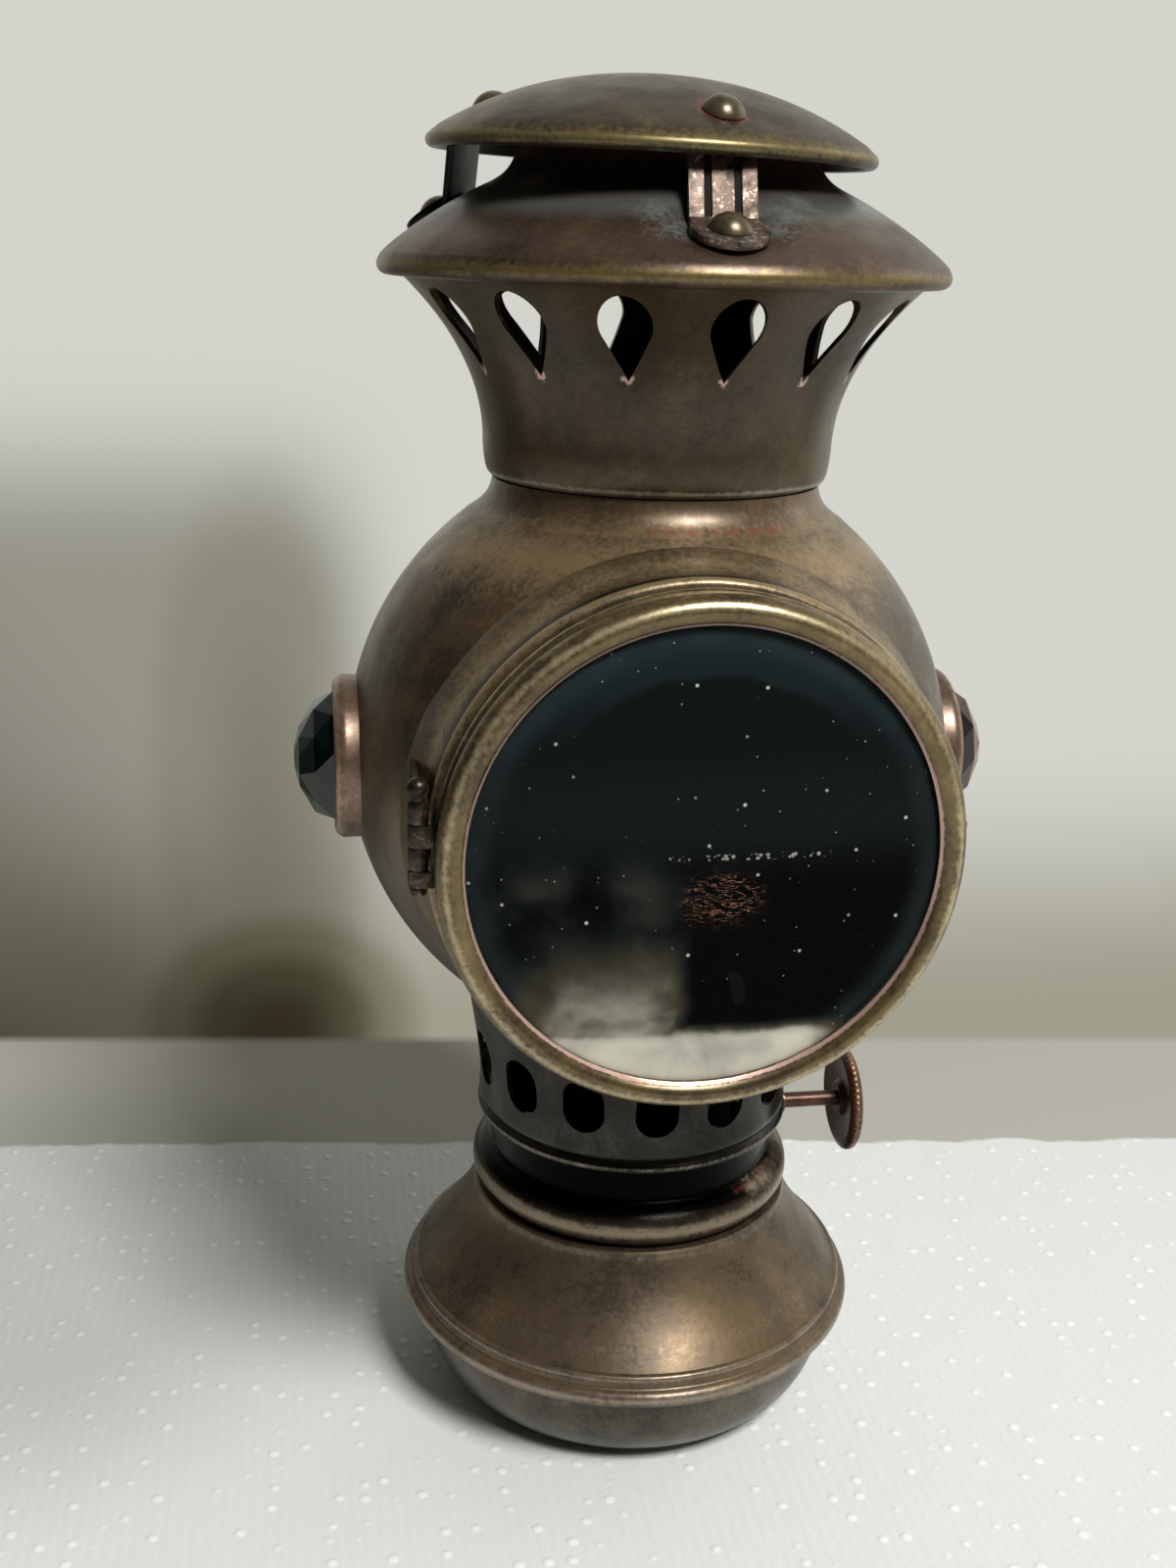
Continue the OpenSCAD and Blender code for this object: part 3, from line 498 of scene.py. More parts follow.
holes_round = 14
gallery_brass = aged_brass("oily dark brass of the gallery", "#1f1e1b", "#2e2c27", "#403d36",
                           rubbed_and_lit="#8a8474", rough=0.27, coat=0.1, metal=0.8, shine=0.2)
gallery_line = (arc(22.75, 46.05, 0.95, -90, 70, 10) + [(23.0, 47.05), (23.2, 47.35), (23.45, 47.9)]
                + curve((23.5, 48.5), (23.1, 53.0), (24.4, 59.0), (25.6, 67.0), 16))
gallery_line += [(24.8, 67.4), (23.7, 59.5), (22.75, 54.0), (22.7, 48.5), (21.85, 48.4),
                 (21.85, 45.1), gallery_line[0]]
gallery = turned("gallery_ring", gallery_line, 168)
oblong = arc(0, 1.15, 3.1, 0, 180, 14) + arc(0, -1.15, 3.1, 180, 360, 14)
cut(gallery, [punched(-1.9 + i * 360 / holes_round, 55.4, oblong, 19, 29)
              for i in range(holes_round)])
marked(gallery, [((23.7, 46.1), 1.0, RUBBED_AND_LIT, 0.55), ((23.4, 52.0), 1.0, RUBBED_AND_LIT, 0.15)])
settled(gallery, "lamp", "dark_patina", gallery_brass, "gallery")


# Ball
# The lamp's body, spun as one round shell with a neck that the chimney pushes onto. The brown
# lacquer is painted lighter on the top as a painted highlight, and darker underneath as painted
# shade.
ball_middle, ball_radius = 102, 42.8
door_height, collar_bore = 99.5, 32.2
jewel_height, jewel_seat = 101.5, 8.8
# The height band paints the lower ball darker, as painted shade underneath
ball_brass = aged_brass("brown lacquered brass of the ball", "#3a3226", "#5a4a36", "#76614a",
                        rubbed_and_lit="#96805f",
                        height_band=("#25221c", 76.0, 112.0, [(0.0, 0.85), (0.5, 0.55), (1.0, 0.0)]))
ball_line = (arc(0, ball_middle, ball_radius, -55.5, 50.8, 64)
             + curve((26.2, 135.9), (24.3, 137.1), (22.7, 138.3), (22.5, 140.9), 12)
             + [(22.2, 141.1), (22.2, 149.8)])
ball = turned("ball_shell", lined(ball_line, sheet), 144)
front = punched(0, door_height, arc(0, 0, collar_bore, 0, 354, 59), 5, 60)
sides = [punched(90 * side, jewel_height, arc(0, 0, jewel_seat, 0, 345, 23), 30, 60)
         for side in (-1, 1)]
cut(ball, [front] + sides)
# A painted highlight over the top, and a line of red polish round the neck
marked(ball, [((29.0, 133.0), 13.0, RUBBED_AND_LIT, 0.72), ((25.0, 137.0), 4.0, RUBBED_AND_LIT, 0.6)]
       + [(around(24.5, a, 137.4), 1.5, STAIN_AND_SHADE, 0.9) for a in range(-12, 36, 4)])
settled(ball, "lamp", "patina", ball_brass, "ball_body", sharp=40)


# Front collar
# A short tube with a rolled lip, its root flared and soldered onto the ball. The door shuts
# against it. Its lip and flare are rubbed and carry painted highlights all round, and its two
# grooves painted shade.
facing = {"turn": (90, 0, 0), "place": (0, 0, door_height)}
collar_brass = aged_brass("brown lacquered brass of the collar", "#3d3425", "#5f4f38", "#7d6a4a",
                          rubbed_and_lit="#a08c6a", rough=0.38, stain_and_shade="#1d1812")
collar_line = ([(collar_bore, 18.0), (35.1, 18.0), (34.95, 21.0), (34.75, 24.0), (34.5, 27.5),
                (34.3, 29.5), (34.15, 31.0), (33.95, 32.2), (33.75, 32.75), (33.8, 33.3)]
               + arc(33.1, 34.55, 1.0, -45, 88, 10)
               + [(32.9, 35.9), (32.7, 36.2), (collar_bore, 36.2), (collar_bore, 18.0)])
collar = turned("collar_tube", collar_line, 180)
# The root follows the ball: each column slides out to a fillet 1.7 mm wide where it meets it
fillet, fall = 1.7, 1.3
for vertex in collar.data.vertices:
    across, up, depth = [c / mm for c in vertex.co]
    r = math.hypot(across, up)
    if r > collar_bore + 0.3:
        height = up + door_height - ball_middle
        meets = math.sqrt(max(0.0, ball_radius ** 2 - height ** 2 - across ** 2))
        flare = fillet * math.exp(-max(0.0, depth - meets + 0.4) / fall)
        vertex.co.x *= 1 + flare / r
        vertex.co.y *= 1 + flare / r
# Painted highlights on the lip and the flare, and painted shade in the two grooves
marked(collar, [((34.1, 34.6), 1.7, RUBBED_AND_LIT, 0.95), ((34.5, 29.5), 6.0, RUBBED_AND_LIT, 0.6),
                ((33.75, 32.7), 1.1, STAIN_AND_SHADE, 1.0), ((32.8, 36.1), 0.9, STAIN_AND_SHADE, 1.0)])
settled(collar, "lamp", "patina", collar_brass, "front_collar", **facing)


# Door ring
# The door's rolled ring, spun with a bead behind it and a spigot that springs into the collar. The
# ring is worn golden brown, and its inner lip is rubbed down to pink copper round the glass. Its
# crest and bead carry painted highlights, and the groove between them painted shade.
ring_brass = aged_brass("golden brown brass of the door ring", "#4a3d2b", "#6a5a3a", "#83704c",
                        rubbed_and_lit="#b8a986", rough=0.29, stain_and_shade="#1d1812")
ring_line = ([(31.1, 33.4), (31.8, 33.4), (31.8, 36.3), (32.8, 36.3)]
             + arc(32.5, 37.55, 0.9, -60, 62, 8) + [(32.72, 38.6), (32.75, 38.9)]
             + [(31.5 + 1.9 * math.cos(a), 41.0 + 2.1 * math.sin(a))
                for a in [math.radians(-48 + i * 183 / 24) for i in range(25)]]
             + [(30.0, 42.25), (29.8, 42.05), (29.8, 41.5), (31.1, 41.5), (31.1, 33.4)])
ring = turned("ring_roll", ring_line, 200)
# Pink copper at the lip, painted highlights on the crest and the bead, and painted shade in the
# groove
marked(ring, [((29.9, 42.2), 0.75, COPPER, 0.95), ((33.3, 41.6), 1.3, RUBBED_AND_LIT, 0.4),
              ((32.3, 42.9), 1.3, RUBBED_AND_LIT, 0.7), ((33.3, 37.6), 0.8, RUBBED_AND_LIT, 0.75),
              ((32.7, 38.8), 0.75, STAIN_AND_SHADE, 1.0)])
settled(ring, "door", "worn_brass", ring_brass, "door_ring", **facing)


# Glass
# A disc of slightly domed window glass, loose in the ring. Behind it all is black. Dust lies on
# it, thick round its edge, a pale film has dried up the left, and a pale painted reflection lies
# across the bottom.
clear, most = {"Roughness": 0.03, "IOR": 1.5}, {"operation": "MAXIMUM"}
old_glass, tree, shader, place = new_finish("dusty domed glass", clear | {
    "Base Color": "#4c5655", "Transmission Weight": 1.0, "Specular IOR Level": 0.12})
spot = add(tree, "SeparateXYZ", Vector=place)
across, up = spot.outputs["X"], spot.outputs["Z"]
centred = add(tree, "Mapping", {"Location": (0.0, 0.0, -door_height * mm)}, Vector=place)
flat = add(tree, "VectorMath", {"operation": "MULTIPLY", 1: (1.0, 0.0, 1.0)}, i0=centred)
radius = add(tree, "VectorMath", {"operation": "LENGTH"}, i0=flat)
# Dust drifts in patches of 5 mm, and damp has left wisps of 13 mm
drift = add(tree, "TexNoise", {"Scale": every(5.263), "Detail": 5.0, "Roughness": 0.6},
            Vector=place)
wisps = add(tree, "TexNoise", {"Scale": every(13.33), "Detail": 4.0, "Distortion": 0.6},
            Vector=place)


def patch(tree, strength, *bands):
    """A soft-edged patch of dirt where its bands cross. A band is a length, its two ends and its
    two soft edges in mm, and how far its edges wander with the drift of the dust."""
    crossed = None
    for value, low, high, soft_low, soft_high, wander in bands:
        moved = add(tree, "Math", share | {1: wander * mm}, i0=drift, i2=value)
        rise = add(tree, "MapRange", soft | {"From Min": low * mm,
                                             "From Max": (low + soft_low) * mm}, Value=moved)
        fall = add(tree, "MapRange", soft | {"From Min": (high - soft_high) * mm,
                                             "From Max": high * mm, "To Min": 1.0, "To Max": 0.0},
                   Value=moved)
        band = add(tree, "Math", times, i0=rise, i1=fall)
        crossed = add(tree, "Math", times, i0=crossed, i1=band) if crossed else band
    return add(tree, "Math", times | {1: strength}, i0=crossed)


# A pale painted reflection across the bottom, drawn with the film, then a film smeared up the left
# and a faint cloud
crescent = patch(tree, 0.82, (up, 60, 79.2, 1, 3, 1.5), (across, -40, 22, 1, 10, 0))
smear = patch(tree, 0.55, (up, 70, 98, 3, 20, 6), (across, -29, -3, 11, 3.5, -4))
cloud = patch(tree, 0.15, (up, 91, 105, 5, 7, 4), (across, -30, 1, 9, 11, 0))
clumps = add(tree, "ValToRGB", {"stops": [(0.36, 0.0), (0.6, 1.0)]}, Fac=wisps)
cloud = add(tree, "Math", times, i0=cloud, i1=clumps)
film_and_reflection = add(tree, "Math", most, i0=crescent, i1=smear)
film_and_reflection = add(tree, "Math", most, i0=film_and_reflection, i1=cloud)
uneven = add(tree, "ValToRGB", {"stops": [(0.35, 0.6), (0.6, 1.0)]}, Fac=wisps)
film_and_reflection = add(tree, "Math", times, i0=film_and_reflection, i1=uneven)
rim_dust = patch(tree, 0.2, (radius, 25.5, 31, 3.5, 0.2, 0))
rim_dust = add(tree, "Math", times, i0=rim_dust, i1=drift)
flaking = patch(tree, 0.06, (radius, 24.6, 31, 1.2, 0.2, 3), (up, 112, 131, 12, 0.5, 0))
breath = patch(tree, 0.055, (up, 97, 140, 8, 1, 0), (radius, -1, 30, 0.5, 4, 0))
haze = film_and_reflection
for layer in (rim_dust, flaking, breath):
    haze = add(tree, "Math", plus, i0=haze, i1=layer)
# A row of crumbs 0.7 mm apart lies across the middle, with gaps in it
row = patch(tree, 0.4, (up, 100.3, 101.3, 0.3, 0.3, 0), (across, -6, 15.5, 1, 1, 0))
crumbs = add(tree, "TexVoronoi", {"Scale": every(0.6667)}, Vector=place)
crumbs = add(tree, "ValToRGB", {"stops": [(0.32, 1.0), (0.46, 0.0)]}, Fac=crumbs)
gaps = add(tree, "ValToRGB", {"stops": [(0.40, 0.0), (0.46, 1.0)]}, Fac=drift)
row = add(tree, "Math", times, i0=row, i1=crumbs)
grains = add(tree, "Math", times, i0=row, i1=gaps)
# Single specks of dust sit in some cells of two grids. They are about 0.1 mm across and are drawn
# two or three times as large, so that they show
for apart, rare, size, strength in ((2.0833, 0.80, 0.16, 1.0), (1.0526, 0.86, 0.15, 0.5)):
    grit = add(tree, "TexVoronoi", {"Scale": every(apart)}, Vector=place)
    drawn = add(tree, "SeparateColor", Color=grit.outputs["Color"]).outputs["Red"]
    drawn = add(tree, "Math", {"operation": "GREATER_THAN", 1: rare}, i0=drawn)
    speck = add(tree, "ValToRGB", {"stops": [(0.0, strength), (size, 0.0)]}, Fac=grit)
    speck = add(tree, "Math", times, i0=drawn, i1=speck)
    grains = add(tree, "Math", most, i0=grains, i1=speck)
# A patch of fine scratches near the middle, brown with ground-in rust. They are hair-fine and are
# drawn as lines in a stretched grain of 0.7 mm
scored = add(tree, "Mapping", {"Rotation": (0.0, 0.7, 0.0), "Scale": (0.4, 1.0, 1.6)},
             Vector=place)
scored = add(tree, "TexNoise", {"Scale": every(0.6667), "Detail": 2.0}, Vector=scored)
lines = add(tree, "ValToRGB", {"stops": [(0.455, 0.0), (0.5, 0.75), (0.545, 0.0)]}, Fac=scored)
worn = add(tree, "Mapping", {"vector_type": "TEXTURE", "Location": (1.8 * mm, -43 * mm, 95.2 * mm),
                             "Scale": (6.5 * mm, 20 * mm, 5.0 * mm)}, Vector=place)
worn = add(tree, "TexGradient", round_spot, Vector=worn)
worn = add(tree, "ValToRGB", {"stops": [(0.0, 0.0), (0.5, 1.0)]}, Fac=worn)
breaks = add(tree, "ValToRGB", {"stops": [(0.42, 0.2), (0.56, 1.0)]}, Fac=drift)
scratches = add(tree, "Math", times, i0=worn, i1=lines)
scratches = add(tree, "Math", times, i0=scratches, i1=breaks)
tint = add(tree, "ValToRGB", {"stops": [(0.0, "#56676a"), (0.2, "#746f5b"), (0.6, "#dad7c8")]},
           Fac=film_and_reflection)
dust_and_reflection = add(tree, "BsdfDiffuse", Color=tint)
rust = add(tree, "BsdfDiffuse", {"Color": "#86604f"})
lint = add(tree, "BsdfDiffuse", {"Color": "#d9d6ca"})
# A greasy film takes most of the mirror out of the glass's face
through = add(tree, "BsdfRefraction", clear | {"Color": "#4c5655"})
face = add(tree, "MixShader", {0: 0.92}, i1=shader, i2=through)
for amount, dirt in ((haze, dust_and_reflection), (scratches, rust), (grains, lint)):
    face = add(tree, "MixShader", Fac=amount, i1=face, i2=dirt)
wire(tree, tree.nodes["Material Output"], Surface=face)
edge, seat, rise, thickness = 30.8, 41.2, 2.4, 2.5
dome = (edge ** 2 + rise ** 2) / (2 * rise)
dome_line = [(r, seat + math.sqrt(dome ** 2 - r ** 2) - (dome - rise))
             for r in [edge * i / 24 for i in range(25)]]
glass = turned("domed_glass", dome_line + [(r, z - thickness) for r, z in dome_line[::-1]], 144)
settled(glass, "door", "clear_glass", old_glass, "lens", **facing)


# Jewel bezels and jewels
# A small brass ring on each side of the ball grips a cut-glass jewel: blue-green on the lamp's
# right and red on its left. Both are so deep that they look black against the light.
def jewel_glass(name, deep, glow):
    """Cut and polished pot glass, nearly black through its thickness, lighter at the thin edge.
    Soot roughens it finely, drawn 1.4 mm wide to show."""
    pot, tree, shader, place = new_finish(name, {"Roughness": 0.06, "IOR": 1.54,
                                                 "Transmission Weight": 0.35})
    rim = add(tree, "LayerWeight", {"Blend": 0.35}).outputs["Facing"]
    depth = add(tree, "ValToRGB", {"stops": [(0.3, deep), (0.95, glow)]}, Fac=rim)
    soot = add(tree, "TexNoise", {"Scale": every(1.4286), "Detail": 2.0}, Vector=place)
    bump = add(tree, "Bump", {"Strength": 0.05, "Distance": 0.2 * mm}, Height=soot)
    wire(tree, shader, Base_Color=depth, Normal=bump)
    return pot


bezel_brass = aged_brass("copper-brown brass of the bezels", "#4a3b30", "#6d5848", "#8a7263",
                         rubbed_and_lit="#a88f74", rough=0.33)
for side, colour in ((-1, "green"), (1, "red")):
    bezel = turned(colour + "_bezel_ring", [(8.9, 38.0), (11.5, 38.0), (11.5, 41.4)]
                   + arc(9.9, 43.1, 1.65, -12, 102, 12)
                   + [(9.5, 44.7), (9.4, 42.2), (8.9, 42.2), (8.9, 38.0)], 96)
    marked(bezel, [((11.0, 44.2), 1.3, RUBBED_AND_LIT, 0.7)])
    settled(bezel, "lamp", "worn_brass", bezel_brass, colour + "_bezel", turn=(0, 90 * side, 0),
            place=(0, 0, jewel_height))
finished("green_jewel", jewel_glass("blue-green pot glass", "#04100f", "#1f5a55"))
finished("red_jewel", jewel_glass("red pot glass", "#120404", "#701512"))


# Crown
# The chimney's flared skirt, pushed over the ball's neck. Fourteen drops were punched through it
# after spinning, which left their edges rough, and the lacquer has flaked there to pink copper.
crown_brass = aged_brass("dark brown lacquered brass of the crown", "#2b2318", "#423625",
                         "#574831", rubbed_and_lit="#aaa492")
flare = [(23.85 + 10.7 * (i / 24) ** 2.1, 145.4 + 21.4 * i / 24) for i in range(25)]
crown_line = ([(22.6, 141.4), (22.9, 141.35), (23.25, 141.75), (23.5, 142.5), (23.7, 143.7)]
              + flare + [(35.15, 167.2), (35.2, 167.7), (33.7, 167.75)]
              + [(r - sheet, z) for r, z in flare[20:2:-2]] + [(22.6, 149.0), (22.6, 141.4)])
crown = turned("crown_skirt", crown_line, 168)
drop = ([(3.4 * math.sin(a), -3.4 * math.cos(a))
         for a in [math.radians(55 + i * 250 / 24) for i in range(25)]]
        + [(-1.55, -4.2), (0.0, -6.9), (1.55, -4.2)])
drop_azimuths = [6.3 + i * 360 / holes_round for i in range(holes_round)]
cut(crown, [punched(a, 162.5, drop, 20, 40) for a in drop_azimuths])
# A painted highlight along the bottom rim, and bare copper at the drops' edges
marked(crown, [((23.25, 141.7), 0.8, RUBBED_AND_LIT, 0.8)]
       + [(around(26.2, a, 155.9), 1.9, COPPER, 0.85) for a in drop_azimuths])
settled(crown, "chimney", "patina", crown_brass, "crown", sharp=40)


# Hood
# A shallow cone with a rolled rim and a throat, pressed onto the crown. Riveting has sunk it under
# the front strap. The rim is rubbed golden and carries a painted highlight, and the upper part is
# blue-grey.
hood_brass = aged_brass("brown lacquered brass of the hood", "#372b24", "#4f3e33", "#66513e",
                        rubbed_and_lit="#7d6d42", rough=0.34, coat=0.15, stain_and_shade="#8f9894",
                        height_band=("#8b9a99", 174.0, 179.0,
                              [(0.0, 0.0), (0.4, 0.35), (0.8, 0.15), (1.0, 0.0)]))
hood_line = (arc(36.65, 168.3, 1.35, -90, 22, 10)
             + curve((37.5, 169.6), (35.0, 172.3), (28.0, 176.7), (23.4, 178.75), 30)
             + curve((23.4, 178.75), (21.4, 179.7), (19.8, 181.0), (19.7, 184.0), 12)[1:]
             + [(19.6, 184.4), (18.95, 184.4), (18.9, 181.2), (20.4, 179.5), (22.6, 178.1),
                (25.0, 177.2), (27.5, 176.1), (30.5, 174.3), (34.0, 171.6), (35.6, 169.3),
                (35.6, 167.0)])
hood = turned("hood_cone", hood_line + [hood_line[0]], 240)
# The strap's foot sits on a flat seat. Past its edge the sunk metal rises 4 mm in 7.4 until it
# meets the cone.
strap_azimuths, foot_radius = (2, -118, 122), 32.3
seat_height, seat_slope = 172.6, 20
slope, azimuth = math.radians(seat_slope), math.radians(strap_azimuths[0])
seat_reach, sink_reach, sink_rate, blend = 6.0, 14, 4 / 7.4, 2.5
for vertex in hood.data.vertices:
    # The vertex in the seat's own frame: along the slope, across it and off it
    out = (vertex.co.x * math.sin(azimuth) - vertex.co.y * math.cos(azimuth)) / mm - foot_radius
    side = (vertex.co.x * math.cos(azimuth) + vertex.co.y * math.sin(azimuth)) / mm
    rise = vertex.co.z / mm - seat_height
    along = out * math.cos(slope) - rise * math.sin(slope)
    off = out * math.sin(slope) + rise * math.cos(slope)
    reach = math.hypot(along, side)
    if vertex.co.z > 168.5 * mm and reach < sink_reach and off < 6:
        floor = max(0.0, reach - seat_reach) * sink_rate
        sunk = -math.log(math.exp(-blend * off) + math.exp(-blend * floor)) / blend
        drop_by = min(0.0, sunk - off) * (1 if off > 0 else 0.6)
        vertex.co.z += drop_by * math.cos(slope) * mm
# A painted highlight over the rubbed rim, and pale grey round the front strap's seat
marked(hood, [((38.0, 168.4), 1.5, RUBBED_AND_LIT, 0.8), ((37.2, 170.0), 1.5, RUBBED_AND_LIT, 0.35)]
       + [(around(r, a, z), 7.0, STAIN_AND_SHADE, 0.72) for a, r, z in (
           (-14, 29, 174.5), (-9, 31, 172.8), (13, 31, 173.0), (18, 29, 174.5), (24, 27, 176.0))])
settled(hood, "chimney", "hood_patina", hood_brass, "hood")


# Cap
# A domed lid with a rolled edge, held over the throat on three straps. Hands have rubbed its edge
# golden, a painted highlight lies over it, and old pink polish is caught round its front rivet.
cap_lean, cap_place = (0.8, 1.3, 0), (-2.1, 0.2, 183.1)
cap_rivets, cap_rivet_radius = (9.5, -113, 127), 23.2
cap_brass = aged_brass("olive brown lacquered brass of the cap", "#2d261b", "#473c2b", "#5d5039",
                       rubbed_and_lit="#7e7049", coat=0.12)
cap_line = (arc(28.5, 0, 1.0, -90, 45, 8)
            + curve((28.6, 1.4), (21.0, 6.2), (12.0, 9.3), (0.0, 9.3), 30)[1:])
cap_under = [(r - 0.4, z - sheet) for r, z in cap_line[::-1] if 0.5 < r < 27.6]
cap = turned("cap_dome", [(27.9, -0.9)] + cap_line + [(0.0, 8.5)] + cap_under + [(27.9, -0.9)], 160)
# A painted highlight over the rubbed edge, and pink polish round the front rivet
marked(cap, [((29.4, 0.3), 1.4, RUBBED_AND_LIT, 0.85), ((28.0, 2.0), 1.8, RUBBED_AND_LIT, 0.35),
             (around(cap_rivet_radius, cap_rivets[0], 4.2), 5.2, STAIN_AND_SHADE, 1.5)])
settled(cap, "chimney", "patina", cap_brass, "top_cap", turn=cap_lean, place=cap_place)


# Rivets
# Round-headed brass rivets: one through each strap's foot and head, and four in the bracket's
# saddle. They are browned like the sheet, with their crowns rubbed.
def copied(piece, places, name):
    """Sets a copy of a finished piece at each place, each with its own mesh, and joins them."""
    copies = []
    for place in places:
        copy = bpy.data.objects.new(name, piece.data.copy())
        copy.data.transform(place)
        bpy.context.collection.objects.link(copy)
        copies.append(copy)
    picked(*copies)
    bpy.ops.object.join()
    bpy.data.objects.remove(piece)
    return copies[0]


def turning(axis, angle):
    """A turn about one of the lamp's axes, in degrees."""
    return Matrix.Rotation(math.radians(angle), 4, axis)


def moved(x, y, z):
    """A move in mm."""
    return Matrix.Translation((x * mm, y * mm, z * mm))


feet = [turning("Z", a - 90) @ moved(foot_radius, 0, z) @ turning("Y", slope) @ moved(0, 0, 1.15)
        for a, z, slope in zip(strap_azimuths, (seat_height, 174.25, 174.25), (seat_slope, 32, 32))]
lid = moved(*cap_place) @ turning("Y", cap_lean[1]) @ turning("X", cap_lean[0])
heads = [lid @ turning("Z", a - 90) @ moved(cap_rivet_radius, 0, 3.35) @ turning("Y", 26)
         @ moved(-up, 0, 0.9) for a, up in zip(cap_rivets, (0, 1.5, 0))]
rivet_brass = aged_brass("brown brass of the rivets", "#3d3526", "#5c4f38", "#786a4c",
                         rubbed_and_lit="#85764f", rough=0.3)
for name, seats, deep in (("hood_rivets", feet, 2.7), ("cap_rivets", heads, 2.45)):
    rivet = turned(name + "_shape", [(0, -deep - 0.6), (1.1, -deep - 0.6), (1.35, -deep - 0.4),
                                     (1.35, -deep), (1.0, -deep), (1.0, 0.03), (2.6, 0.03)]
                   + arc(0, -1.25, 3.02, 27, 90, 12), 48)
    marked(rivet, [((0.0, 1.8), 1.6, RUBBED_AND_LIT, 0.5)])
    settled(copied(rivet, seats, name + "_turned"), "chimney", "rivet_brass", rivet_brass, name,
            sharp=40)
rivet = turned("saddle_rivet", [(0, 42.9), (1.0, 42.9), (1.0, 44.66), (2.1, 44.66)]
               + [(2.4 * math.cos(math.radians(a)), 43.76 + 2.4 * math.sin(math.radians(a)))
                  for a in range(24, 91, 6)], 40)
marked(rivet, [((0.0, 46.2), 1.4, RUBBED_AND_LIT, 0.7)])
corners = [moved(0, 0, ball_middle) @ turning("Z", x * 12.4) @ turning("X", up * 24.3 - 90)
           for x in (-1, 1) for up in (-1, 1)]
settled(copied(rivet, corners, "saddle_rivet_heads"), "lamp", "worn_copper", rivet_brass,
        "bracket_rivets", sharp=40)


# Straps
# Three strips of brass rolled with two grooves. Each stands on a round foot riveted to the hood
# and turns under the cap. The lacquer is gone: pale metal shows in flecks, grime fills the grooves.
# The left strap is painted dark all over as painted shade.
def eased(source, name, ease, rounds=2, grooves=None):
    """A copy of a solid with its doubles merged, its flats made whole and its edges eased. Faces
    that lie as deep as its grooves are marked for grime."""
    piece = bpy.data.objects.new(name, nodes[source].data.copy())
    bpy.context.collection.objects.link(piece)
    picked(piece)
    bpy.ops.object.mode_set(mode="EDIT")
    bpy.ops.mesh.select_all(action="SELECT")
    bpy.ops.mesh.remove_doubles(threshold=2e-6)
    bpy.ops.mesh.dissolve_limited(angle_limit=math.radians(1.5))
    bpy.ops.object.mode_set(mode="OBJECT")
    grime = piece.data.attributes.new("grime", "FLOAT", "POINT")
    upright = [face for face in piece.data.polygons if grooves and abs(face.normal.z) < 0.7]
    for face in upright:
        tops = [top for top in piece.data.polygons if top.normal.dot(face.normal) > 0.999]
        top = max(top.center.dot(face.normal) for top in tops)
        if grooves[0] * mm < top - face.center.dot(face.normal) < grooves[1] * mm:
            for index in face.vertices:
                grime.data[index].value = 1.0
    edges = piece.modifiers.new("eased edges", "BEVEL")
    edges.width = ease * mm
    edges.segments = rounds
    edges.limit_method = "ANGLE"
    edges.angle_limit = math.radians(32)
    bpy.ops.object.modifier_apply(modifier="eased edges")
    return piece


def flecked(name, dark, mid, pale, rough=0.38):
    """Bare worn brass, pinkish brown, with dark stains of 2 mm. Its pale flecks are too fine to
    show and are drawn 0.7 mm across."""
    brass, tree, shader, place = new_finish(name, {"Metallic": 0.75})
    stains = add(tree, "TexNoise", {"Scale": every(2.0833), "Detail": 3.0, "Roughness": 0.6},
                 Vector=place)
    flecks = add(tree, "TexNoise", {"Scale": every(0.6667), "Detail": 4.0, "Roughness": 0.75},
                 Vector=place)
    colour = add(tree, "ValToRGB", {"stops": [(0.36, dark), (0.52, mid), (0.7, mid)]}, Fac=stains)
    bare = add(tree, "Math", share | {1: 0.8}, i0=stains, i2=flecks)
    bare = add(tree, "MapRange", {"From Min": 0.96, "From Max": 1.12}, Value=bare)
    bare = add(tree, "ValToRGB", {"stops": [(0.0, 0.0), (1.0, 0.9)]}, Fac=bare)
    colour = add(tree, "Mix", over | {"B": pale}, Factor=bare, A=colour)
    grime = add(tree, "Attribute", {"attribute_name": "grime"}).outputs["Fac"]
    colour = add(tree, "Mix", over | {"B": "#1d1a18"}, Factor=grime, A=colour)
    matt = add(tree, "MapRange", {"To Min": rough, "To Max": 0.75}, Value=grime)
    bump = add(tree, "Bump", {"Strength": 0.2, "Distance": 0.2 * mm}, Height=flecks)
    wire(tree, shader, Base_Color=colour, Roughness=matt, Normal=bump)
    return brass


pale_strap = flecked("scratched bare brass of the straps", "#38332f", "#66564d", "#c9b8a5",
                     rough=0.45)
# The left strap's dark copy of the finish is painted shade
shaded_strap = flecked("brass of the left strap, painted dark as painted shade", "#0d0c0b", "#1f1c18", "#3f382f")
for source, finish in (("strap_front", pale_strap), ("strap_left", shaded_strap),
                       ("strap_right", pale_strap)):
    settled(eased(source, source + "_rolled", 0.12, grooves=(0.2, 0.4)), "chimney", "worn_copper",
            finish, source)


# Hinge
# Two small leaves of dark brass, wrapped into knuckles round a thin pin with a round knob. One is
# soldered to the ball beside the collar, the other to the door's ring.
hinge_brass = flecked("dark brass of the hinge", "#1e1a15", "#3d352a", "#6e6252", rough=0.34)
for source, name, ease, body, slot in (
        ("hinge_body_leaf", "hinge_leaf_on_ball", 0.1, "lamp", "dark_patina"),
        ("hinge_door_leaf", "hinge_leaf_on_door", 0.1, "door", "dark_patina"),
        ("hinge_pin", "hinge_pin_and_knob", 0.12, "lamp", "worn_brass")):
    settled(eased(source, name, ease), body, slot, hinge_brass, source)


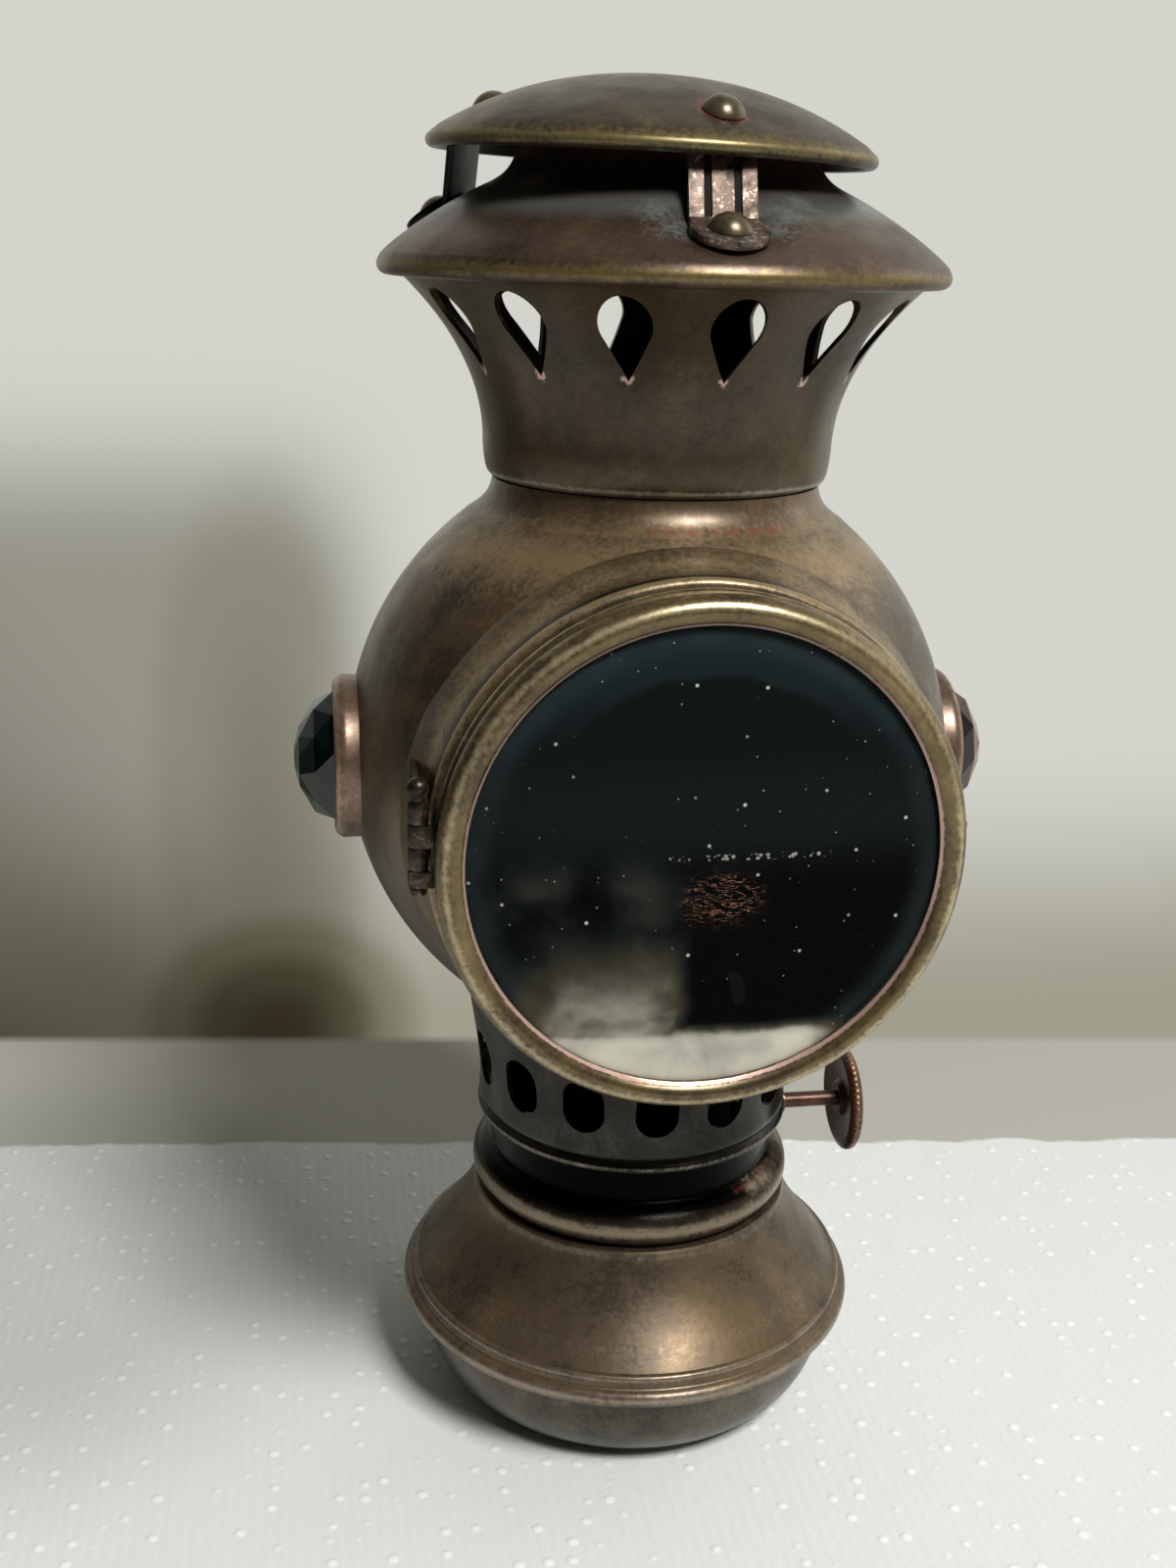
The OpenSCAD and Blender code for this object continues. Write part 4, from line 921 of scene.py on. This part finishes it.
# Catch
# A flat strip of spring brass riveted to the collar on the key's side.
# Its nose snaps in behind the ring.
catch_brass = flecked("spring brass of the catch", "#4a3d2a", "#7a6744", "#a3926a", rough=0.33)
settled(eased("catch_spring", "catch_strip", 0.1), "catch", "worn_brass", catch_brass,
        "catch_spring")
settled(eased("catch_rivet", "catch_rivet_head", 0.2, 3), "catch", "worn_copper", catch_brass,
        "catch_rivet")


# Bracket
# A cast saddle that hugs the back of the ball, with a slot for the cycle's lug, and a thumb screw
# that clamps it. Road dirt has darkened the casting, and the wing is rubbed by fingers.
saddle_brass = aged_brass("dark cast brass of the saddle", "#26241f", "#45403a", "#5d564a",
                          rubbed_and_lit="#857651", rough=0.42)
saddle = eased("bracket_saddle", "saddle_casting", 0.35, 3)
marked(saddle, [((x * 13.0, 54.4, z), 3.0, RUBBED_AND_LIT, 0.55)
                for x in (-1, 1) for z in (88, 95, 102, 109, 116)])
settled(saddle, "lamp", "dark_patina", saddle_brass, "bracket_saddle")
wing_brass, thread = [flecked(name, "#5a4a30", "#8a7548", "#b7a578", rough=0.3) for name in (
    "finger-worn brass of the thumb screw", "cut thread of the clamping screw")]
settled(eased("clamp_wing", "thumb_wing", 0.4, 4), "wing", "worn_brass", wing_brass, "clamp_wing")
# One turn of the thread every 0.8 mm along the screw, whose axis is 102 mm up
pitch, screw_height = 0.8, 102
tree = thread.node_tree
spot = add(tree, "Mapping", {"Location": (0.0, 0.0, -screw_height * mm)},
           Vector=add(tree, "TexCoord").outputs["Object"])
spot = add(tree, "SeparateXYZ", Vector=spot)
turn = add(tree, "Math", {"operation": "ARCTAN2"}, i0=spot.outputs["Z"], i1=spot.outputs["X"])
helix = add(tree, "Math", share | {1: 2 * math.pi * every(pitch)}, i0=spot.outputs["Y"], i2=turn)
crests = add(tree, "Math", {"operation": "SINE"}, i0=helix)
ridges = add(tree, "Bump", {"Strength": 0.9, "Distance": 0.3 * mm}, Height=crests)
wire(tree, tree.nodes["Principled BSDF"], Normal=ridges)
settled(eased("clamp_screw", "clamp_screw_shank", 0.25), "screw", "worn_brass", thread,
        "clamp_screw")


# Burner
# Plate, basket, cone and wick tube of thin brass, with two star wheels on the key's spindle. Heat
# and soot have dulled them brown and blackened the cone's mouth. All are painted nearly black,
# as painted shade inside the lamp.
# Painted nearly black, as painted shade inside the lamp
burner_brass = aged_brass("sooty brass of the burner", "#060505", "#0f0d0b", "#1d1913", rough=0.7,
                          coat=0.0, metal=0.3)
spring_brass = aged_brass("tarnished brass wire and small fittings", "#4d402a", "#77643f",
                          "#96835a")
for name in ("burner_plate", "burner_basket", "burner_cone", "wick_tube"):
    finished(name, burner_brass)
for name in ("spindle_gland", "wick_wheels", "lens_wire", "reflector_post"):
    finished(name, spring_brass)


# Wick
# A flat woven cotton wick, 10 mm wide, that hangs in the oil and stands in its tube.
# Its top is charred and the rest yellow with oil.
cotton, tree, shader, place = new_finish("woven cotton of the wick", {"Roughness": 0.9,
                                                                      "Sheen Weight": 0.3})
# Warp threads 0.8 mm apart and weft 0.6 mm apart
warp = add(tree, "TexWave", {"Scale": wave * every(0.8), "bands_direction": "X"}, Vector=place)
weft = add(tree, "TexWave", {"Scale": wave * every(0.6), "bands_direction": "Z"}, Vector=place)
weave = add(tree, "Math", times, i0=warp, i1=weft)
height = add(tree, "SeparateXYZ", Vector=place).outputs["Z"]
height = add(tree, "MapRange", {"From Min": 77 * mm, "From Max": 83 * mm}, Value=height)
charred = add(tree, "ValToRGB", {"stops": [(0.0, "#b9ad8e"), (0.5, "#6b5b40"), (0.9, "#161310")]},
              Fac=height)
threads = add(tree, "ValToRGB", {"stops": [(0.0, "#8c8370"), (0.6, "#ffffff")]}, Fac=weave)
colour = add(tree, "Mix", darken, A=charred, B=threads)
bump = add(tree, "Bump", {"Strength": 0.5, "Distance": 0.3 * mm}, Height=weave)
wire(tree, shader, Base_Color=colour, Normal=bump)
finished("wick", cotton)


# Reflector
# A silvered dish behind the flame. The silver has tarnished to a dark smoky grey, in patches of
# 9 mm, and is dull where it is darkest.
silver, tree, shader, place = new_finish("tarnished silvering of the reflector", {"Metallic": 1.0})
tarnish = add(tree, "TexNoise", {"Scale": every(9.091), "Detail": 5.0, "Roughness": 0.6},
              Vector=place)
smoky = add(tree, "ValToRGB", {"stops": [(0.3, "#0e0d0c"), (0.55, "#23211f"), (0.75, "#3b3936")]},
            Fac=tarnish)
dull = add(tree, "MapRange", {"From Min": 0.3, "From Max": 0.7, "To Min": 0.5, "To Max": 0.3},
           Value=tarnish)
wire(tree, shader, Base_Color=smoky, Roughness=dull)
finished("reflector", silver)
